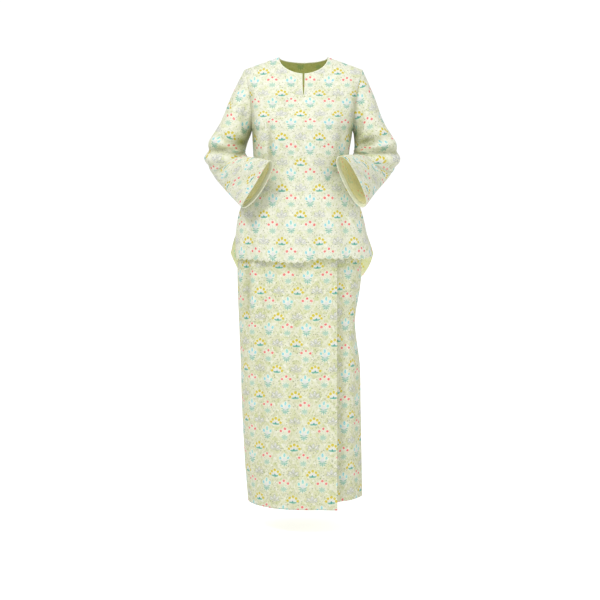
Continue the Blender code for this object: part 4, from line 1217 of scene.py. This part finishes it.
# Low down, the free edge stands out to the front
EDGE_STANDS_OUT = 0.030
hung = np.maximum((SKIRT_TOP_Z - z) / (SKIRT_TOP_Z - OVER_HEM_Z), 0.0)
over[..., 1] -= EDGE_STANDS_OUT * hung**1.5 * np.maximum(over[..., 0] / WRAP_EDGE_X, 0.0) ** 2
OVER_CREASES = [
    ((-0.172, -0.640), (-0.176, -0.800), 0.012, -0.0070),
    ((-0.148, -0.620), (-0.150, -0.860), 0.016, 0.0040),
    ((-0.120, -0.600), (-0.130, -1.384), 0.024, -0.0018),
    ((-0.075, -0.650), (-0.082, -1.384), 0.026, 0.0017),
    ((-0.025, -0.700), (-0.030, -1.384), 0.024, -0.0018),
    ((0.020, -0.640), (0.014, -1.384), 0.026, 0.0016),
    ((0.060, -0.680), (0.052, -1.384), 0.020, -0.0015),
    ((0.088, -0.600), (0.086, -1.384), 0.012, 0.0011),
    ((-0.160, -0.950), (-0.150, -1.384), 0.020, 0.0013),
    ((-0.150, -0.690), (-0.060, -0.655), 0.014, -0.0020),
]
skirt_over = hang_skirt(
    "skirt_over_panel", "skirt_over", over, OVER_CREASES, skirt_hold(angle, z), OVER_LEFT_COLUMNS - 1,
    (0.0, 0.0), (0.37, 1.01), 0.342, ("first",),
)

UNDER_HIDDEN = 0.125
z = rows_down(SKIRT_TOP_Z, UNDER_HEM_Z)
hidden = np.arcsin((WRAP_EDGE_X - UNDER_HIDDEN) / level(SKIRT, LEFT, z))
angle = hidden + (0.5 * math.pi - hidden) * np.linspace(0.0, 1.0, 120)[None, :]
z = z + 0.0 * angle
share = (SKIRT_TOP_Z - z) / (SKIRT_TOP_Z - UNDER_HEM_Z)
under = skirt_points(angle, z, FRONT, less=0.004 + 0.016 * share)
UNDER_CREASES = [
    ((0.122, -0.640), (0.118, -1.370), 0.012, -0.0036),
    ((0.145, -0.660), (0.146, -1.370), 0.014, 0.0021),
    ((0.165, -0.900), (0.168, -1.370), 0.012, -0.0024),
]
skirt_under = hang_skirt(
    "skirt_under_panel", "skirt_under", under, UNDER_CREASES, skirt_hold(angle, z, -0.45, 0.25), 20,
    (-0.014, -0.011), (0.26, 0.99), 0.246, ("last",),
)

z = rows_down(SKIRT_TOP_Z, BACK_SKIRT_HEM_Z)
BACK_SKIRT_COLUMNS = 220
angle = 0.5 * math.pi * np.linspace(-1.0, 1.0, BACK_SKIRT_COLUMNS)[None, :] + 0.0 * z
z = z + 0.0 * angle
behind = skirt_points(angle, z, BACK)
BACK_SKIRT_CREASES = [
    ((-0.130, -0.640), (-0.140, -1.376), 0.024, -0.0034),
    ((-0.085, -0.600), (-0.092, -1.376), 0.024, 0.0030),
    ((-0.040, -0.650), (-0.044, -1.376), 0.026, -0.0036),
    ((0.005, -0.560), (0.004, -1.376), 0.026, 0.0031),
    ((0.050, -0.640), (0.054, -1.376), 0.024, -0.0036),
    ((0.096, -0.600), (0.100, -1.376), 0.024, 0.0030),
    ((0.135, -0.680), (0.140, -1.376), 0.020, -0.0029),
    ((-0.080, -0.520), (-0.020, -0.545), 0.018, -0.0030),
    ((0.080, -0.515), (0.025, -0.548), 0.018, -0.0030),
]
skirt_back = hang_skirt(
    "skirt_back_panel", "skirt_back", behind, BACK_SKIRT_CREASES, skirt_hold(angle, z),
    BACK_SKIRT_COLUMNS // 2, (0.0, 0.0), (0.49, 1.00), 0.469, ("first", "last"),
)

WAISTBAND_TOP_Z = -0.346
turn = np.linspace(0.0, 2.0 * math.pi, 200, endpoint=False)[None, :]
z = np.linspace(WAISTBAND_TOP_Z, SKIRT_TOP_Z + 0.0006, 10)[:, None] + 0.0 * turn
turn = turn + 0.0 * z
folded = np.arcsin(np.sin(turn))
band = np.where(
    (np.cos(turn) > 0.0)[..., None], skirt_points(folded, z, FRONT), skirt_points(folded, z, BACK)
)
rings = np.concatenate([band, band[:, :1]], 1)
waist_uv = np.stack([cloth_lengths(rings, 0), rings[..., 2]], -1)
waistband = cloth_shell(
    "skirt_waistband_strip", band, waist_uv, np.zeros(band.shape[:2]), on_axis(z),
    [SKIRT_COTTON, SKIRT_WRONG_SIDE], closed=True, wall=2.0 * CLOTH_WALL,
)
belongs(waistband, "skirt_waistband")


# ------------------------------------------------------------------ sewing
# Machine stitching in pale thread: rows of top stitch along the hems, slits and
# wrap edge, and close satin stitch that finishes the scallops of the front hem.


def stitch_tree():
    """Stitches along a line of points: each lies on the cloth, along the line or across it."""
    tree, pen, given, wanted = node_group(
        "stitch_row",
        [("Geometry", "Geometry"), ("Pitch", "Float"), ("Length", "Float"), ("Width", "Float"),
         ("Thickness", "Float"), ("Across", "Float"), ("Thread", "Material")],
        [("Geometry", "Geometry")],
        "Geometry",
    )
    turned = "FunctionNodeAlignRotationToVector"
    line = pen.node("GeometryNodeMeshToCurve", {"Mesh": given["Geometry"]})
    evenly = {"Curve": line, "Length": given["Pitch"]}
    spaced = pen.node("GeometryNodeResampleCurve", evenly, mode="LENGTH")
    out = pen.node("GeometryNodeInputNamedAttribute", {"Name": "out"}, data_type="FLOAT_VECTOR")
    run = pen.node("GeometryNodeInputTangent")
    side = pen.vector("CROSS_PRODUCT", out, run)
    pick = pen.node("Mix", {0: given["Across"], 4: run, 5: side}, out=1, data_type="VECTOR")
    first = pen.node(turned, {"Vector": pick}, axis="X")
    second = pen.node(turned, {"Rotation": first, "Vector": out}, axis="Z", pivot_axis="X")
    size = pen.node("CombineXYZ", {i: given[k] for i, k in enumerate(("Length", "Width", "Thickness"))})
    bead = pen.node("GeometryNodeMeshUVSphere", {"Segments": 6, "Rings": 4, "Radius": 0.5})
    placed = pen.node(
        "GeometryNodeInstanceOnPoints",
        {"Points": spaced, "Instance": bead, "Rotation": second, "Scale": size},
    )
    real = pen.node("GeometryNodeRealizeInstances", {0: placed})
    dyed = pen.node("GeometryNodeSetMaterial", {"Geometry": real, "Material": given["Thread"]})
    tree.links.new(dyed, wanted["Geometry"])
    return tree


def thread_material(name, colour):
    made, pen, shader = new_material(name)
    here = pen.node("TexCoord", out="Object")
    twist = pen.node("TexNoise", {"Vector": here, "Scale": 900.0, "Detail": 2.0})
    shown = pen.over(dye(colour), dye("C9CFAE"), pen.band(twist, 0.4, 0.75, 0.0, 0.6))
    rough = pen.band(twist, 0.3, 0.7, 0.45, 0.62)
    pen.wire(shader, {"Base Color": shown, "Roughness": rough})
    shader.inputs["Sheen Weight"].default_value = 0.15
    return made


STITCHES = stitch_tree()
THREAD = thread_material("pale_thread", "F1F2DF")


def sew(name, lines, pitch, length, width, thickness, across=0.0):
    """Sews rows of stitches; each line is its points and the cloth's normals there."""
    points = np.concatenate([line[0] for line in lines])
    outs = np.concatenate([line[1] for line in lines]).astype(np.float32)
    links, start = [], 0
    for line, _ in lines:
        links += [(i, i + 1) for i in range(start, start + len(line) - 1)]
        start += len(line)
    path = bpy.data.meshes.new(name + "_path")
    path.from_pydata(points.tolist(), links, [])
    path.attributes.new("out", "FLOAT_VECTOR", "POINT").data.foreach_set("vector", outs.reshape(-1))
    guide = stand(name + "_path", path)
    rule = guide.modifiers.new("stitches", "NODES")
    rule.node_group = STITCHES
    values = {"Pitch": pitch, "Length": length, "Width": width, "Thickness": thickness,
              "Across": across, "Thread": THREAD}
    for socket in STITCHES.interface.items_tree:
        if socket.in_out == "INPUT" and socket.name in values:
            rule[socket.identifier] = values[socket.name]
    bpy.context.view_layer.update()
    ready = guide.evaluated_get(bpy.context.evaluated_depsgraph_get())
    mesh = bpy.data.meshes.new_from_object(ready)
    mesh.name = name
    mesh.polygons.foreach_set("use_smooth", np.ones(len(mesh.polygons), bool))
    made = stand(name, mesh)
    bpy.data.objects.remove(guide)
    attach(made, "root")
    return made


def inset(points, normals, edge, distance, lift=0.0002):
    """A line on the cloth at a distance from one edge of a panel, just proud of it."""
    grid, outs = (a if edge == "bottom" else a.swapaxes(0, 1) for a in (points, normals))
    if edge != "left":
        grid, outs = grid[::-1], outs[::-1]
    run = np.cumsum(np.linalg.norm(np.diff(grid, axis=0), axis=-1), 0)
    run = np.concatenate([np.zeros((1, run.shape[1])), run])
    at = np.clip((run <= distance).sum(0) - 1, 0, len(grid) - 2)
    column = np.arange(grid.shape[1])
    share = ((distance - run[at, column]) / (run[at + 1, column] - run[at, column]))[:, None]
    place = grid[at, column] * (1.0 - share) + grid[at + 1, column] * share
    out = outs[at, column]
    return place + out * lift, out


def free_part(line, low, high):
    """The part of a line between two heights."""
    inside = (line[0][:, 2] > low) & (line[0][:, 2] < high)
    return line[0][inside], line[1][inside]


TOP = dict(pitch=0.0034, length=0.0025, width=0.00045, thickness=0.0003)
EDGE_ROW, BACK_HEM_ROW, SKIRT_HEM_ROW, WRAP_EDGE_ROW, CUFF_ROW = 0.006, 0.008, 0.014, 0.010, 0.015


def free_edges(points, normals, low):
    """Lines beside the two free side edges, from the side slits' tops down to a height."""
    return [
        free_part(inset(points, normals, side, EDGE_ROW), low, SIDE_SLIT_TOP_Z)
        for side in ("left", "right")
    ]


satin = sew(
    "front_hem_satin", [inset(front, front_normals, "bottom", 0.0008)],
    pitch=0.00095, length=0.0026, width=0.0010, thickness=0.0008, across=1.0,
)
front_stitch = sew("front_edge_stitch", free_edges(front, front_normals, -0.612), **TOP)
back_stitch = sew("back_hem_stitch", [
    inset(back, back_normals, "bottom", BACK_HEM_ROW), *free_edges(back, back_normals, -0.600),
], **TOP)


def cuff_line(sleeve):
    points, normals = sleeve[1], sleeve[2]
    place, out = inset(points, normals, "bottom", CUFF_ROW)
    return np.concatenate([place, place[:1]]), np.concatenate([out, out[:1]])


def skirt_hem_line(panel):
    return inset(panel[1], panel[2], "bottom", SKIRT_HEM_ROW)


right_stitch = sew("cuff_right_stitch", [cuff_line(right_sleeve)], **TOP)
left_stitch = sew("cuff_left_stitch", [cuff_line(left_sleeve)], **TOP)
over_stitch = sew("skirt_over_stitch", [
    skirt_hem_line(skirt_over), inset(skirt_over[1], skirt_over[2], "right", WRAP_EDGE_ROW),
], **TOP)
under_stitch = sew("skirt_under_stitch", [skirt_hem_line(skirt_under)], **TOP)
skirt_back_stitch = sew("skirt_back_stitch", [skirt_hem_line(skirt_back)], **TOP)
BINDING_ROW, BINDING_ROW_LIFT = 0.0028, 0.0003
binding_stitch = sew("neck_binding_stitch", [
    (neck_places + neck_away * BINDING_ROW + neck_outs * BINDING_ROW_LIFT, neck_outs),
], pitch=0.0028, length=0.0020, width=0.0004, thickness=0.0003)
